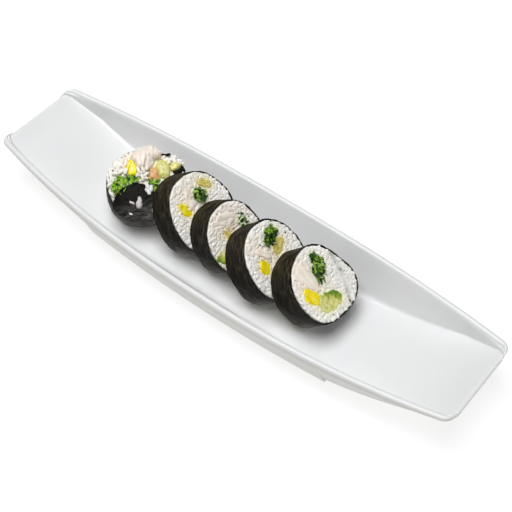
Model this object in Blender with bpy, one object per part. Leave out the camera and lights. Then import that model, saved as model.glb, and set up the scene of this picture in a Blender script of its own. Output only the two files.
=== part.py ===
"""Five slices of a thick maki roll, lying like fallen dominoes on a long boat-shaped plate.

Metres, +Z up. X runs along the plate, the origin is on the table under the plate's middle.
Each slice is a nori band round a rice core, with its fillings running through the rice.
"""
import math
from collections import namedtuple

import bmesh
import bpy
import numpy as np
from mathutils import Matrix

MM = 0.001
GAP = 0.3 * MM                      # clearance between pieces that touch

# Plate
PLATE_LENGTH = 360 * MM
RIM_HALF_WIDTH_MIDDLE = 50.7 * MM
RIM_HALF_WIDTH_END = 34.3 * MM
RIM_TAPER_POWER = 2.3
RIM_HEIGHT_MIDDLE = 30 * MM
RIM_HEIGHT_CORNER = 37.7 * MM
RIM_THICKNESS = 4.6 * MM
CORNER_RADIUS = 6 * MM              # seen from above
END_LIP_RADIUS = 3 * MM             # seen from the side
FLOOR_HEIGHT = 5 * MM
FLOOR_LEVEL_HALF_LENGTH = 60 * MM   # the floor is level up to here and then curls up
FLOOR_CURL = 30.5 * MM              # rise of the floor from there to the end
CREASE_HALF_WIDTH = 32 * MM
CREASE_FILLET = 4 * MM
UNDERSIDE_THICKNESS = 5 * MM
FOOT_HALF_LENGTH = 96 * MM
FOOT_HALF_WIDTH_MIDDLE = 39.5 * MM
FOOT_HALF_WIDTH_END = 35 * MM
FOOT_RING_WIDTH = 5 * MM
FOOT_RING_BEVEL = 1.5 * MM
FOOT_RECESS = 1.8 * MM

# Slices
NORI_THICKNESS = 0.5 * MM
NORI_WRINKLE = 0.25 * MM
NORI_EDGE_WAVE = 0.3 * MM
NORI_SIDES = 40
RICE_SIDES = 28
RICE_EDGE_ROUND = 0.9 * MM
RICE_EDGE_SHARE = 0.95              # radius of the rice's flat faces
RICE_SUNK = 0.2 * MM                # the rice's faces lie this far inside the nori's edges
MOUND_SLOPE = ((0.80, 0.5), (0.55, 1.0))    # radius and rise of the mound, as shares
GRAIN_LENGTH = 6.4 * MM
GRAIN_WIDTH = 2.9 * MM
GRAIN_HEIGHT = 2.6 * MM
GRAIN_SIDES = 5
GRAIN_BANDS = 4
GRAIN_CLEARANCE = 2.1 * MM          # kept free in front of a neighbouring slice
FRONT_GRAINS = 15
BACK_GRAINS = 8
FILLING_SIDES = 14
FILLING_ROUND = 0.7 * MM

# One slice: the middle of its front face seen from above, its lean back from upright, its turn
# about Z, its thickness and mean radius. Each lobe is an amplitude, a count and a direction in
# degrees, measured on the face from the plate's +Y side towards the top.
Slice = namedtuple("Slice", "number x y lean turn thickness radius lobes ragged mound")
SLICES = (
    Slice(1, -76.4 * MM, -2.8 * MM, 62, -37, 22.0 * MM, 25.3 * MM,
          ((0.020, 2, 20), (0.015, 5, 10)), 0.9 * MM, 4.0 * MM),
    Slice(2, -30.4 * MM, 0.6 * MM, 41.5, -2.3, 21.2 * MM, 25.6 * MM,
          ((0.026, 2, 78), (0.040, 3, -19), (0.017, 4, -39)), 0.0, 0.0),
    Slice(3, -0.8 * MM, -1.0 * MM, 37.5, -3.5, 19.2 * MM, 23.2 * MM,
          ((0.044, 2, -81), (0.022, 3, -33), (0.017, 4, -37)), 0.0, 0.0),
    Slice(4, 31.0 * MM, -0.9 * MM, 45.5, 5.0, 20.6 * MM, 25.2 * MM,
          ((0.028, 2, 74), (0.028, 3, -27), (0.018, 4, -42)), 0.0, 0.0),
    Slice(5, 66.2 * MM, 1.6 * MM, 48.4, 1.7, 22.4 * MM, 24.7 * MM,
          ((0.040, 2, -64), (0.049, 3, -35), (0.028, 4, -37)), 0.0, 0.0),
)

# One filling: its slice and kind, its middle on the front face, across and up, its length and
# width there, the direction of its length in degrees, the lobes of its outline and how far it
# stands out of the rice.
Filling = namedtuple("Filling", "slice kind across up length width turn lobes depth proud")


def filling(number, kind, across, up, length, width, turn, lobes=3, depth=0.05, proud=0.4):
    """A filling, with its sizes given in millimetres."""
    return Filling(number, kind, across * MM, up * MM, length * MM, width * MM, turn,
                   lobes, depth, proud * MM)


FILLINGS = (
    filling(5, "greens", 4.2, 9.6, 20.0, 8.6, 68, 5, 0.10),
    filling(5, "fish", -8.0, 11.0, 20.5, 10.0, 97),
    filling(5, "pickle", -14.6, 0.9, 12.5, 8.2, 115, 4, 0.06),
    filling(5, "cucumber", -3.6, -11.2, 18.5, 12.0, 160),
    filling(4, "greens", 6.4, 14.4, 15.0, 8.0, 24, 5, 0.12),
    filling(4, "omelette", 9.6, 5.0, 11.5, 7.0, 20),
    filling(4, "pickle", -10.8, -0.4, 10.0, 8.2, 62, 4, 0.06),
    filling(4, "fish", -5.2, 8.4, 14.0, 5.4, 125),
    filling(4, "cucumber", 1.5, -11.5, 17.0, 11.0, 165),
    filling(3, "fish", -0.8, 14.0, 14.5, 9.0, 150),
    filling(3, "omelette", -4.2, 5.0, 7.4, 6.0, 85, 3, 0.08),
    filling(3, "greens", 9.4, 6.4, 8.0, 4.4, 110, 4, 0.12),
    filling(3, "cucumber", -14.4, -6.2, 11.5, 7.6, 150),
    filling(2, "omelette", 12.0, 13.8, 11.5, 7.2, 131),
    filling(2, "greens", 4.0, 9.6, 9.4, 9.0, 142, 5, 0.10),
    filling(2, "fish", -4.2, 10.8, 16.0, 4.8, 76),
    filling(2, "pickle", -11.2, 8.0, 11.0, 5.8, 106, 4, 0.06),
    filling(2, "cucumber", -2.0, -11.0, 17.0, 11.0, 165),
    filling(1, "greens_left", -17.6, 1.6, 9.5, 6.8, 70, 5, 0.12, 3.5),
    filling(1, "greens_middle", -9.4, 4.4, 8.4, 4.6, 18, 5, 0.12, 4.0),
    filling(1, "greens_right", 4.8, -1.6, 9.0, 6.0, 148, 5, 0.12, 3.0),
    filling(1, "pickle", -8.6, 12.4, 9.5, 4.6, 66, 4, 0.06, 6.0),
    filling(1, "fish", -0.6, 14.2, 13.5, 9.4, 72, 3, 0.05, 9.0),
    filling(1, "carrot", 5.6, 5.8, 6.4, 4.6, 79, 3, 0.06, 5.5),
    filling(1, "cucumber", 11.8, 7.8, 11.0, 6.0, 85, 3, 0.05, 5.5),
    filling(1, "avocado", 18.6, 6.6, 6.2, 4.6, 70, 3, 0.05, 4.0),
)

# The torn end of the nori sheet, folded over the lower half of the first slice's rice
FLAP = filling(1, "flap", -4.0, -13.4, 38.0, 21.0, 157, 3, 0.06)
FLAP_SIDES = 20
FLAP_SHARES = (0.25, 0.6, 0.85, 1.0)
FLAP_REACH = 0.97                   # as a share of the rice's radius
FLAP_LOOSE = 0.4 * MM

# Colours (linear), roughness
COLOURS = {
    "plate": ((0.80, 0.80, 0.78), 0.18),
    "nori": ((0.012, 0.012, 0.009), 0.55),
    "rice": ((0.80, 0.77, 0.70), 0.50),
    "greens": ((0.045, 0.13, 0.014), 0.50),
    "fish": ((0.80, 0.56, 0.48), 0.45),
    "pickle": ((0.85, 0.66, 0.02), 0.35),
    "cucumber": ((0.50, 0.58, 0.14), 0.35),
    "omelette": ((0.66, 0.52, 0.18), 0.50),
    "carrot": ((0.62, 0.28, 0.08), 0.45),
    "avocado": ((0.56, 0.58, 0.18), 0.40),
}


def clear_scene():
    """Remove every object, so that the script gives the same result in any file."""
    for thing in list(bpy.data.objects):
        bpy.data.objects.remove(thing, do_unlink=True)


def new_collection(name):
    """A collection in the scene."""
    made = bpy.data.collections.new(name)
    bpy.context.scene.collection.children.link(made)
    return made


def material(kind):
    """The Principled material of one kind of piece."""
    colour, roughness = COLOURS[kind]
    made = bpy.data.materials.get(kind) or bpy.data.materials.new(kind)
    made.use_nodes = True
    shader = made.node_tree.nodes["Principled BSDF"]
    shader.inputs["Base Color"].default_value = (*colour, 1.0)
    shader.inputs["Roughness"].default_value = roughness
    shader.inputs["Metallic"].default_value = 0.0
    return made


def new_object(name, mesh, collection, kind=None):
    """An object for a mesh, with the material of its kind and smooth sides."""
    made = bpy.data.objects.new(name, mesh)
    collection.objects.link(made)
    if kind:
        made.data.materials.append(material(kind))
        mesh.shade_smooth()
        mesh.set_sharp_from_angle(angle=math.radians(40))
    return made


def loft(name, rings, closed=False):
    """A mesh through equal rings of points, capped at both ends or closed on itself."""
    rings = np.asarray(rings)
    stations, count = rings.shape[:2]
    mesh = bpy.data.meshes.new(name)
    spans = stations if closed else stations - 1
    faces = []
    for s in range(spans):
        here = s * count
        there = (s + 1) % stations * count
        for k in range(count):
            after = (k + 1) % count
            faces.append((here + k, here + after, there + after, there + k))
    if not closed:
        faces.append(tuple(reversed(range(count))))
        faces.append(tuple(range((stations - 1) * count, stations * count)))
    mesh.from_pydata(rings.reshape(-1, 3).tolist(), [], faces)
    shape = bmesh.new()
    shape.from_mesh(mesh)
    bmesh.ops.recalc_face_normals(shape, faces=shape.faces)
    bmesh.ops.triangulate(shape, faces=[f for f in shape.faces if len(f.verts) > 4])
    shape.to_mesh(mesh)
    shape.free()
    return mesh


# Plate

def along(x):
    """Distance from the plate's middle as a share of its half length."""
    return np.minimum(np.abs(2 * x / PLATE_LENGTH), 1.0)


def rim_half_width(x):
    """Half the plate's outer width at the rim."""
    spread = RIM_HALF_WIDTH_MIDDLE - RIM_HALF_WIDTH_END
    return RIM_HALF_WIDTH_END + spread * (1 - along(x) ** RIM_TAPER_POWER)


def rim_height(x):
    """Height of the rim, which rises towards the corners."""
    return RIM_HEIGHT_MIDDLE + (RIM_HEIGHT_CORNER - RIM_HEIGHT_MIDDLE) * along(x) ** 2


def floor_height(x):
    """Height of the plate's inner floor, level in the middle and curled up at the ends."""
    run = PLATE_LENGTH / 2 - FLOOR_LEVEL_HALF_LENGTH
    share = np.clip((np.abs(x) - FLOOR_LEVEL_HALF_LENGTH) / run, 0, 1)
    return FLOOR_HEIGHT + FLOOR_CURL * share ** 2


def crease_half_width(x):
    """Half the width of the level floor, where the inner walls start."""
    return np.minimum(CREASE_HALF_WIDTH + 2 * MM * along(x) ** 2, rim_half_width(x) - 6.4 * MM)


def inner_height(x, y):
    """Height of the plate's inner face at a point: floor, fillet and slanting wall."""
    floor = floor_height(x)
    crease = crease_half_width(x)
    top_in = rim_half_width(x) - RIM_THICKNESS
    slope = (rim_height(x) - floor) / (top_in - crease)
    return floor + slope * np.maximum(np.abs(y) - crease, 0)


def rounding(x, radius):
    """How far a corner of this radius has drawn in at x, close to the plate's end."""
    into = np.clip(abs(x) - (PLATE_LENGTH / 2 - radius), 0, radius)
    return radius - math.sqrt(radius * radius - into * into)


def plate_section(x):
    """The closed outline across the plate at x, as (y, z) points round from the middle."""
    width = rim_half_width(x)
    rim = rim_height(x)
    floor = floor_height(x)
    crease = crease_half_width(x)
    inner = width - RIM_THICKNESS
    footed = abs(x) < FOOT_HALF_LENGTH
    past = max(abs(x) - FOOT_HALF_LENGTH, 0)
    if footed:
        narrowing = (FOOT_HALF_WIDTH_MIDDLE - FOOT_HALF_WIDTH_END) * (x / FOOT_HALF_LENGTH) ** 2
        base = FOOT_HALF_WIDTH_MIDDLE - narrowing
        under = 0.0
    else:
        base = FOOT_HALF_WIDTH_END - 0.068 * past - 0.23 * past * past
        under = floor - UNDERSIDE_THICKNESS
    recess = FOOT_RECESS if abs(x) < FOOT_HALF_LENGTH - FOOT_RING_WIDTH - 3 * MM else 0.0
    rise = rim - floor
    run = inner - crease
    top = [(0.5 * crease, floor),
           (crease - CREASE_FILLET, floor),
           (crease, floor + 0.06 * rise),
           (crease + 0.2 * run, floor + 0.22 * rise),
           (crease + 0.6 * run, floor + 0.58 * rise),
           (inner, rim - 1.7 * MM),
           (width - 3.6 * MM, rim - 0.4 * MM),
           (width - 2.2 * MM, rim),
           (width - 0.8 * MM, rim - 0.5 * MM)]
    side = [(width, rim - 2 * MM),
            (0.5 * (width + base) + 0.8 * MM, 0.5 * (rim + under))]
    bottom = [(base, under + 0.5 * MM),
              (base - 0.5 * MM, under),
              (base - FOOT_RING_WIDTH, under),
              (base - FOOT_RING_WIDTH - FOOT_RING_BEVEL, under + recess)]
    drawn_in = 1 - rounding(x, CORNER_RADIUS) / width
    pinch = rounding(x, END_LIP_RADIUS) * 0.75
    half = [(y, z - pinch) for y, z in top] + side + [(y, z + pinch * 0.6) for y, z in bottom]
    right = [(y * drawn_in, z) for y, z in half]
    left = [(-y, z) for y, z in reversed(right)]
    return right + [(0.0, under + recess + pinch * 0.6)] + left + [(0.0, floor - pinch)]


def plate_stations():
    """Places along the plate where a section is needed, closer together at the ends."""
    step = 0.3 * MM
    ring_end = FOOT_HALF_LENGTH - FOOT_RING_WIDTH - 3 * MM
    half = [22, 44, 60, 75]
    marks = [m * MM for m in half]
    marks += [ring_end - step, ring_end + 1.5 * MM, FOOT_HALF_LENGTH - step, FOOT_HALF_LENGTH + step]
    marks += [m * MM for m in (112, 128, 142, 154, 164, 171)]
    end = PLATE_LENGTH / 2
    marks += [end - CORNER_RADIUS, end - 3.5 * MM, end - 1.8 * MM, end - 0.6 * MM, end]
    return [-m for m in reversed(marks)] + [0.0] + marks


def make_plate(collection):
    """The plate: sections lofted from end to end."""
    rings = [[(x, y, z) for y, z in plate_section(x)] for x in plate_stations()]
    return new_object("plate", loft("plate", rings), collection, "plate")


# Slices

def outline_radius(piece, angle, inset=0.0):
    """Radius of the nori's outer face round a slice."""
    share = 1.0
    for amount, count, direction in piece.lobes:
        share = share + amount * np.cos(count * (angle - math.radians(direction)))
    return piece.radius * share - inset


def slice_frame(piece):
    """The slice's axes: across its face, up its face and out of its face."""
    lean = math.radians(piece.lean)
    turn = math.radians(piece.turn)
    out = np.array([math.cos(lean) * math.cos(turn), math.cos(lean) * math.sin(turn), math.sin(lean)])
    across = np.array([-math.sin(turn), math.cos(turn), 0.0])
    return across, np.cross(out, across), out


def rim_points(piece, level, middle):
    """World points round the nori's outer face at a level of the slice's thickness."""
    across, up, out = slice_frame(piece)
    angle = np.linspace(0, 2 * math.pi, 120, endpoint=False)
    radius = outline_radius(piece, angle, -NORI_WRINKLE)
    ring = np.outer(radius * np.cos(angle), across) + np.outer(radius * np.sin(angle), up)
    return middle + ring + out * (level - piece.thickness)


def resting_middle(piece):
    """The front face's middle, at the height where the slice just rests on the plate."""
    middle = np.array([piece.x, piece.y, 0.0])
    points = np.concatenate([rim_points(piece, level, middle) for level in (0.0, piece.thickness)])
    height = points[:, 2] - inner_height(points[:, 0], points[:, 1])
    middle[2] = GAP - height.min()
    return middle


def place(piece):
    """The matrix that puts a slice, modelled from its back face up, on the plate."""
    across, up, out = slice_frame(piece)
    back = resting_middle(piece) - out * piece.thickness
    columns = np.column_stack([across, up, out, back])
    return Matrix([*columns.tolist(), (0, 0, 0, 1)])


def wrinkle(angle, seed):
    """A smooth uneven wave round a slice, between -1 and 1."""
    rng = np.random.default_rng(seed)
    total = np.zeros_like(angle)
    for count in (3, 5, 7, 11):
        total += np.cos(count * angle + rng.uniform(0, 2 * math.pi)) / 4
    return total


def nori_mesh(piece):
    """The band of nori: a thin rectangle carried round the slice's outline."""
    angle = np.linspace(0, 2 * math.pi, NORI_SIDES, endpoint=False)
    outer = outline_radius(piece, angle) + NORI_WRINKLE * wrinkle(angle, piece.number)
    inner = outer - NORI_THICKNESS
    tear = NORI_EDGE_WAVE + piece.ragged
    front = piece.thickness + tear * wrinkle(angle, piece.number + 10)
    back = NORI_EDGE_WAVE * 0.5 * (1 + wrinkle(angle, piece.number + 20))
    rings = []
    for a, near, far, high, low in zip(angle, inner, outer, front, back):
        c, s = math.cos(a), math.sin(a)
        rings.append([(near * c, near * s, low), (far * c, far * s, low),
                      (far * c, far * s, high), (near * c, near * s, high)])
    return loft("nori", rings, closed=True)


def rice_radius(piece, angle):
    """Radius of the rice inside the nori."""
    wave = NORI_WRINKLE * wrinkle(angle, piece.number)
    return outline_radius(piece, angle) + wave - NORI_THICKNESS - GAP


def rice_mesh(piece):
    """The rice core: a rounded disc, or a mound on the torn end slice."""
    angle = np.linspace(0, 2 * math.pi, RICE_SIDES, endpoint=False)
    radius = rice_radius(piece, angle)
    top = piece.thickness - RICE_SUNK
    levels = [(RICE_EDGE_SHARE, RICE_SUNK), (0.995, RICE_EDGE_ROUND), (0.995, top - RICE_EDGE_ROUND),
              (RICE_EDGE_SHARE, top)]
    if piece.mound:
        levels += [(share, top + rise * piece.mound) for share, rise in MOUND_SLOPE]
    rings = []
    for share, level in levels:
        r = radius * share
        rings.append(np.column_stack([r * np.cos(angle), r * np.sin(angle), np.full_like(r, level)]))
    return loft("rice", rings)


def rice_level(piece, x, y):
    """Height of the rice's front above the slice's back face, mound included."""
    radius = np.hypot(x, y) / rice_radius(piece, np.arctan2(y, x))
    shares = [share for share, rise in reversed(MOUND_SLOPE)] + [RICE_EDGE_SHARE]
    rises = [rise for share, rise in reversed(MOUND_SLOPE)] + [0.0]
    return piece.thickness - RICE_SUNK + piece.mound * np.interp(radius, shares, rises)


def blob(item, grow=0.0, count=FILLING_SIDES):
    """A filling's outline on the face: a squarish oval with lobes, grown by a margin."""
    angle = np.linspace(0, 2 * math.pi, count, endpoint=False)
    half_length = item.length / 2 + grow
    half_width = item.width / 2 + grow
    power = 2.4
    reach = np.abs(np.cos(angle) / half_length) ** power + np.abs(np.sin(angle) / half_width) ** power
    radius = reach ** (-1 / power) * (1 + item.depth * np.cos(item.lobes * angle + item.turn))
    turn = math.radians(item.turn)
    return np.column_stack([item.across + radius * np.cos(angle + turn),
                            item.up + radius * np.sin(angle + turn)])


def prism(name, outlines):
    """A closed solid through outlines, each given with its share of width and its level."""
    rings = []
    for flat, share, level in outlines:
        middle = flat.mean(axis=0)
        shrunk = middle + (flat - middle) * share
        rings.append(np.column_stack([shrunk, np.full(len(flat), level)]))
    return loft(name, rings)


def filling_mesh(piece, item):
    """A filling that runs through the slice, with rounded ends."""
    flat = blob(item)
    top = piece.thickness + item.proud
    outlines = [(flat, 0.92, 0.3 * MM), (flat, 1.0, 0.3 * MM + FILLING_ROUND)]
    if item.proud > FILLING_ROUND:
        outlines += [(flat, 1.0, piece.thickness - 2 * MM), (flat, 0.86, top - 1.2 * MM), (flat, 0.62, top)]
    else:
        outlines += [(flat, 1.0, top - FILLING_ROUND), (flat, 0.92, top)]
    return prism(item.kind, outlines)


def clearance_mesh(piece, item):
    """The cutter that leaves a filling its room in the rice."""
    flat = blob(item, GAP * 1.3)
    return prism("room", [(flat, 1.0, -5 * MM), (flat, 1.0, piece.thickness + 20 * MM)])


def apply_modifiers(thing):
    """Bake an object's modifiers into its mesh."""
    bpy.context.view_layer.update()
    evaluated = thing.evaluated_get(bpy.context.evaluated_depsgraph_get())
    mesh = bpy.data.meshes.new_from_object(evaluated)
    thing.modifiers.clear()
    thing.data = mesh


def boolean(thing, collection, operation):
    """Cut or join an object with everything in a collection."""
    step = thing.modifiers.new(operation.lower(), "BOOLEAN")
    step.operation = operation
    step.operand_type = "COLLECTION"
    step.collection = collection
    step.solver = "EXACT"
    apply_modifiers(thing)


def empty_collection(collection):
    """Remove a collection with its objects."""
    for thing in list(collection.objects):
        bpy.data.objects.remove(thing, do_unlink=True)
    bpy.data.collections.remove(collection)


def grain_mesh():
    """One grain of rice: a low faceted ellipsoid, its length along X."""
    shape = bmesh.new()
    bmesh.ops.create_uvsphere(shape, u_segments=GRAIN_SIDES, v_segments=GRAIN_BANDS, radius=0.5)
    turned = Matrix.Rotation(math.pi / 2, 4, "Y")
    sized = Matrix.Diagonal((GRAIN_LENGTH, GRAIN_WIDTH, GRAIN_HEIGHT, 1.0))
    bmesh.ops.transform(shape, matrix=sized @ turned, verts=shape.verts)
    mesh = bpy.data.meshes.new("grain")
    shape.to_mesh(mesh)
    shape.free()
    return mesh


def near_neighbour(piece, point):
    """Whether a world point is too close to another slice for a grain to stand there."""
    for other in SLICES:
        if other.number == piece.number:
            continue
        across, up, out = slice_frame(other)
        away = point - resting_middle(other)
        level = away @ out
        radius = math.hypot(away @ across, away @ up)
        edge = outline_radius(other, math.atan2(away @ up, away @ across))
        outside = max(level - other.mound, -other.thickness - level, radius - edge)
        if outside < GRAIN_CLEARANCE:
            return True
    return False


def grain_places(piece, front, wanted, seed):
    """Seeded places for grains on one face, clear of fillings, nori, each other and neighbours."""
    rng = np.random.default_rng(seed)
    outlines = [blob(item, count=48) for item in FILLINGS if item.slice == piece.number]
    if front and piece.number == FLAP.slice:
        outlines.append(flap_outline(piece, 48))
    middles = [outline.mean(axis=0) for outline in outlines]
    matrix = np.array(place(piece))
    found = []
    for attempt in range(4000):
        if len(found) == wanted:
            break
        angle = rng.uniform(0, 2 * math.pi)
        edge = rice_radius(piece, np.array([angle]))[0]
        radius = (edge - 1.2 * GRAIN_WIDTH) * math.sqrt(rng.uniform(0, 1))
        turn = rng.uniform(0, math.pi)
        tilt = rng.uniform(-0.25, 0.25)
        spot = np.array([radius * math.cos(angle), radius * math.sin(angle)])
        along_grain = np.array([math.cos(turn), math.sin(turn)])
        axis = spot + np.outer(np.linspace(-0.34, 0.34, 5) * GRAIN_LENGTH, along_grain)
        reach = np.hypot(axis[:, 0], axis[:, 1]) + 0.5 * GRAIN_WIDTH + 0.4 * MM
        if (reach > rice_radius(piece, np.arctan2(axis[:, 1], axis[:, 0])) * 0.95).any():
            continue
        if any(too_close(axis, outline, middle) for outline, middle in zip(outlines, middles)):
            continue
        if any(np.linalg.norm(axis[:, None] - other[None], axis=2).min() < GRAIN_WIDTH * 1.05
               for other, *_ in found):
            continue
        level = float(rice_level(piece, *spot)) if front else RICE_SUNK
        if near_neighbour(piece, matrix[:3, :3] @ np.array([*spot, level]) + matrix[:3, 3]):
            continue
        found.append((axis, (*spot, level), turn, tilt))
    return [(spot, turn, tilt) for axis, spot, turn, tilt in found]


def too_close(axis, outline, middle):
    """Whether a grain's axis comes too near a filling's outline or lies inside it."""
    room = 0.5 * GRAIN_WIDTH + 0.35 * MM
    apart = np.linalg.norm(axis[:, None] - outline[None], axis=2)
    nearest = outline[apart.argmin(axis=1)]
    inside = np.linalg.norm(axis - middle, axis=1) < np.linalg.norm(nearest - middle, axis=1)
    return bool(((apart.min(axis=1) < room) | inside).any())


def add_grains(piece, core, scratch_name):
    """Join grains of rice to both faces of a slice's core."""
    grains = new_collection(scratch_name)
    mesh = grain_mesh()
    faces = [(True, FRONT_GRAINS, piece.number), (False, BACK_GRAINS, piece.number + 50)]
    for front, wanted, seed in faces:
        for spot, turn, tilt in grain_places(piece, front, wanted, seed):
            one = new_object("grain", mesh, grains)
            one.location = spot
            one.rotation_euler = (0.0, tilt, turn)
    boolean(core, grains, "UNION")
    empty_collection(grains)


def flap_outline(piece, count):
    """The folded nori's outline on the face, kept inside the band round the rice."""
    flat = blob(FLAP, count=count)
    reach = FLAP_REACH * rice_radius(piece, np.arctan2(flat[:, 1], flat[:, 0]))
    return flat * np.minimum(1, reach / np.hypot(flat[:, 0], flat[:, 1]))[:, None]


def flap_mesh(piece):
    """The folded end of the nori sheet: a thin sheet that follows the rice under it."""
    flat = flap_outline(piece, FLAP_SIDES)
    middle = flat.mean(axis=0)
    rings = []
    for side, lift in ((1, GAP), (-1, GAP + NORI_THICKNESS)):
        for share in FLAP_SHARES[::side]:
            x, y = (middle + (flat - middle) * share).T
            rings.append(np.column_stack([x, y, rice_level(piece, x, y) + FLAP_LOOSE + lift]))
    return loft("flap", rings)


def make_slice(piece, collection, cutters):
    """One slice: an empty that holds its nori, rice and fillings."""
    holder = bpy.data.objects.new(f"slice_{piece.number}", None)
    collection.objects.link(holder)
    holder.matrix_world = place(piece)
    own = [item for item in FILLINGS if item.slice == piece.number]
    core = new_object(f"slice_{piece.number}_rice", rice_mesh(piece), collection, "rice")
    rooms = bpy.data.collections.new(f"rooms_{piece.number}")
    cutters.children.link(rooms)
    for item in own:
        room = new_object("room", clearance_mesh(piece, item), rooms)
        room.hide_render = True
        room.display_type = "WIRE"
    made = [core, new_object(f"slice_{piece.number}_nori", nori_mesh(piece), collection, "nori")]
    if piece.number == FLAP.slice:
        made.append(new_object(f"slice_{piece.number}_flap", flap_mesh(piece), collection, "nori"))
        boolean(made[-1], rooms, "DIFFERENCE")
    boolean(core, rooms, "DIFFERENCE")
    empty_collection(rooms)
    add_grains(piece, core, f"grains_{piece.number}")
    for item in own:
        kind = item.kind.split("_")[0]
        made.append(new_object(f"slice_{piece.number}_{item.kind}", filling_mesh(piece, item), collection, kind))
    for thing in made:
        thing.parent = holder
    return made


def main():
    """Build the plate and the five slices on it."""
    clear_scene()
    parts = new_collection("maki_on_plate")
    cutters = new_collection("cutters")
    make_plate(parts)
    for piece in SLICES:
        make_slice(piece, parts, cutters)
    bpy.context.view_layer.update()


main()
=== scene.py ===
import itertools
import math
from collections import namedtuple

import bpy
import numpy as np
from mathutils import Matrix


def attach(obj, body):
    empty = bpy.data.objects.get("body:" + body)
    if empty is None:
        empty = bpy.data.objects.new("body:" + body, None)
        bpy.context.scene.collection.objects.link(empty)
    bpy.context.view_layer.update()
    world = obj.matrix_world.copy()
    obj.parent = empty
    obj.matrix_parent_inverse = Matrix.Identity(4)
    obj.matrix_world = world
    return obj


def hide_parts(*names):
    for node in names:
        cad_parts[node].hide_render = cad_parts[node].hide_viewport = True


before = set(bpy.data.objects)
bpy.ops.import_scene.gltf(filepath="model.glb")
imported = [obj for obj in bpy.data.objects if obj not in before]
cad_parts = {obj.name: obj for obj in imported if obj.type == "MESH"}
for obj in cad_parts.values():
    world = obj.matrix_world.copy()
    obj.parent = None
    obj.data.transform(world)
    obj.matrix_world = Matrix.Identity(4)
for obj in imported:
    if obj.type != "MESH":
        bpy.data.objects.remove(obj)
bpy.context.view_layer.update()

bl_info = {
    "name": "Maki slices on a boat plate",
    "version": (1, 0, 0),
    "blender": (4, 5, 0),
    "location": "3D View > Sidebar > Maki",
    "description": "Makes a boat plate, five leaning slices of thick maki with their fillings, and a studio",
    "category": "Add Mesh",
}

MM = 0.001
GAP = 0.3 * MM
BODY = "root"
NO_TRIANGLES = np.zeros((0, 3), int)
MIX_FACTOR, NUMBER_A, NUMBER_B, MIX_A, MIX_B, MIX_RESULT = 0, 2, 3, 6, 7, 2      # the Mix node's sockets

# Plate, as the frame's own
PLATE_LENGTH = 360 * MM
RIM_HALF_WIDTH_MIDDLE = 50.7 * MM
RIM_HALF_WIDTH_END = 34.3 * MM
RIM_TAPER_POWER = 2.3
RIM_HEIGHT_MIDDLE = 30 * MM
RIM_HEIGHT_CORNER = 37.7 * MM
RIM_THICKNESS = 4.6 * MM
CORNER_RADIUS = 6 * MM
END_LIP_RADIUS = 3 * MM
FLOOR_HEIGHT = 5 * MM
FLOOR_LEVEL_HALF_LENGTH = 60 * MM
FLOOR_CURL = 30.5 * MM
CREASE_HALF_WIDTH = 32 * MM
CREASE_WIDENING = 2 * MM            # towards the ends
CREASE_TO_RIM = 6.4 * MM            # at the least
CREASE_FILLET = 4 * MM
UNDERSIDE_THICKNESS = 5 * MM
FOOT_HALF_LENGTH = 96 * MM
FOOT_HALF_WIDTH_MIDDLE = 39.5 * MM
FOOT_HALF_WIDTH_END = 35 * MM
FOOT_RING_WIDTH = 5 * MM
FOOT_RING_BEVEL = 1.5 * MM
FOOT_RECESS = 1.8 * MM
RECESS_HALF_LENGTH = FOOT_HALF_LENGTH - FOOT_RING_WIDTH - 3 * MM
STATION_STEP = 2.5 * MM             # between sections of the plate
LIP_STATIONS = 14
TOP_SAMPLES = (5, 3, 4, 4, 4, 4, 3, 3, 3, 3)        # points on each stretch of the section's top
BOTTOM_SAMPLES = (8, 5, 4, 4, 4, 12)                # and of its outside and underside
CROWN = sum(TOP_SAMPLES[:8])        # the point on the rim's crown, where the outside's painted shade starts
SHOULDER = sum(TOP_SAMPLES)         # and the one below which it is whole
THIN_COAT = (0.85, 0.85, 0.8)       # painted shade: the share of the glaze's white left on the plate's outside

# Slices, as the frame's own
NORI_THICKNESS = 0.5 * MM
NORI_WRINKLE = 0.25 * MM
NORI_EDGE_WAVE = 0.3 * MM
RICE_SUNK = 0.2 * MM
CORE_SUNK = 0.26 * MM               # the mashed rice, under the grains' level
MOUND_SLOPE = ((0.55, 1.0), (0.80, 0.5), (0.95, 0.0))       # share of the radius, share of the height
Slice = namedtuple("Slice", "number x y lean turn thickness radius lobes ragged mound")
SLICES = (
    Slice(1, -76.4 * MM, -2.8 * MM, 62, -37, 22.0 * MM, 25.3 * MM,
          ((0.020, 2, 20), (0.015, 5, 10)), 0.9 * MM, 4.0 * MM),
    Slice(2, -30.4 * MM, 0.6 * MM, 41.5, -2.3, 21.2 * MM, 25.6 * MM,
          ((0.026, 2, 78), (0.040, 3, -19), (0.017, 4, -39)), 0.0, 0.0),
    Slice(3, -0.8 * MM, -1.0 * MM, 37.5, -3.5, 19.2 * MM, 23.2 * MM,
          ((0.044, 2, -81), (0.022, 3, -33), (0.017, 4, -37)), 0.0, 0.0),
    Slice(4, 31.0 * MM, -0.9 * MM, 45.5, 5.0, 20.6 * MM, 25.2 * MM,
          ((0.028, 2, 74), (0.028, 3, -27), (0.018, 4, -42)), 0.0, 0.0),
    Slice(5, 66.2 * MM, 1.6 * MM, 48.4, 1.7, 22.4 * MM, 24.7 * MM,
          ((0.040, 2, -64), (0.049, 3, -35), (0.028, 4, -37)), 0.0, 0.0),
)
TORN = 1                            # the number of the torn end slice
OUTLINE_TURNS = np.linspace(-math.pi, math.pi, 72, endpoint=False)
OVAL_POWER = 2.4

# Fillings: slice, kind, middle across and up the face, length, width, turn in degrees, lobes of
# the outline, their depth, how far it stands out of the rice, and the outline if it was drawn
Filling = namedtuple("Filling", "slice kind across up length width turn lobes depth proud outline")


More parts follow.
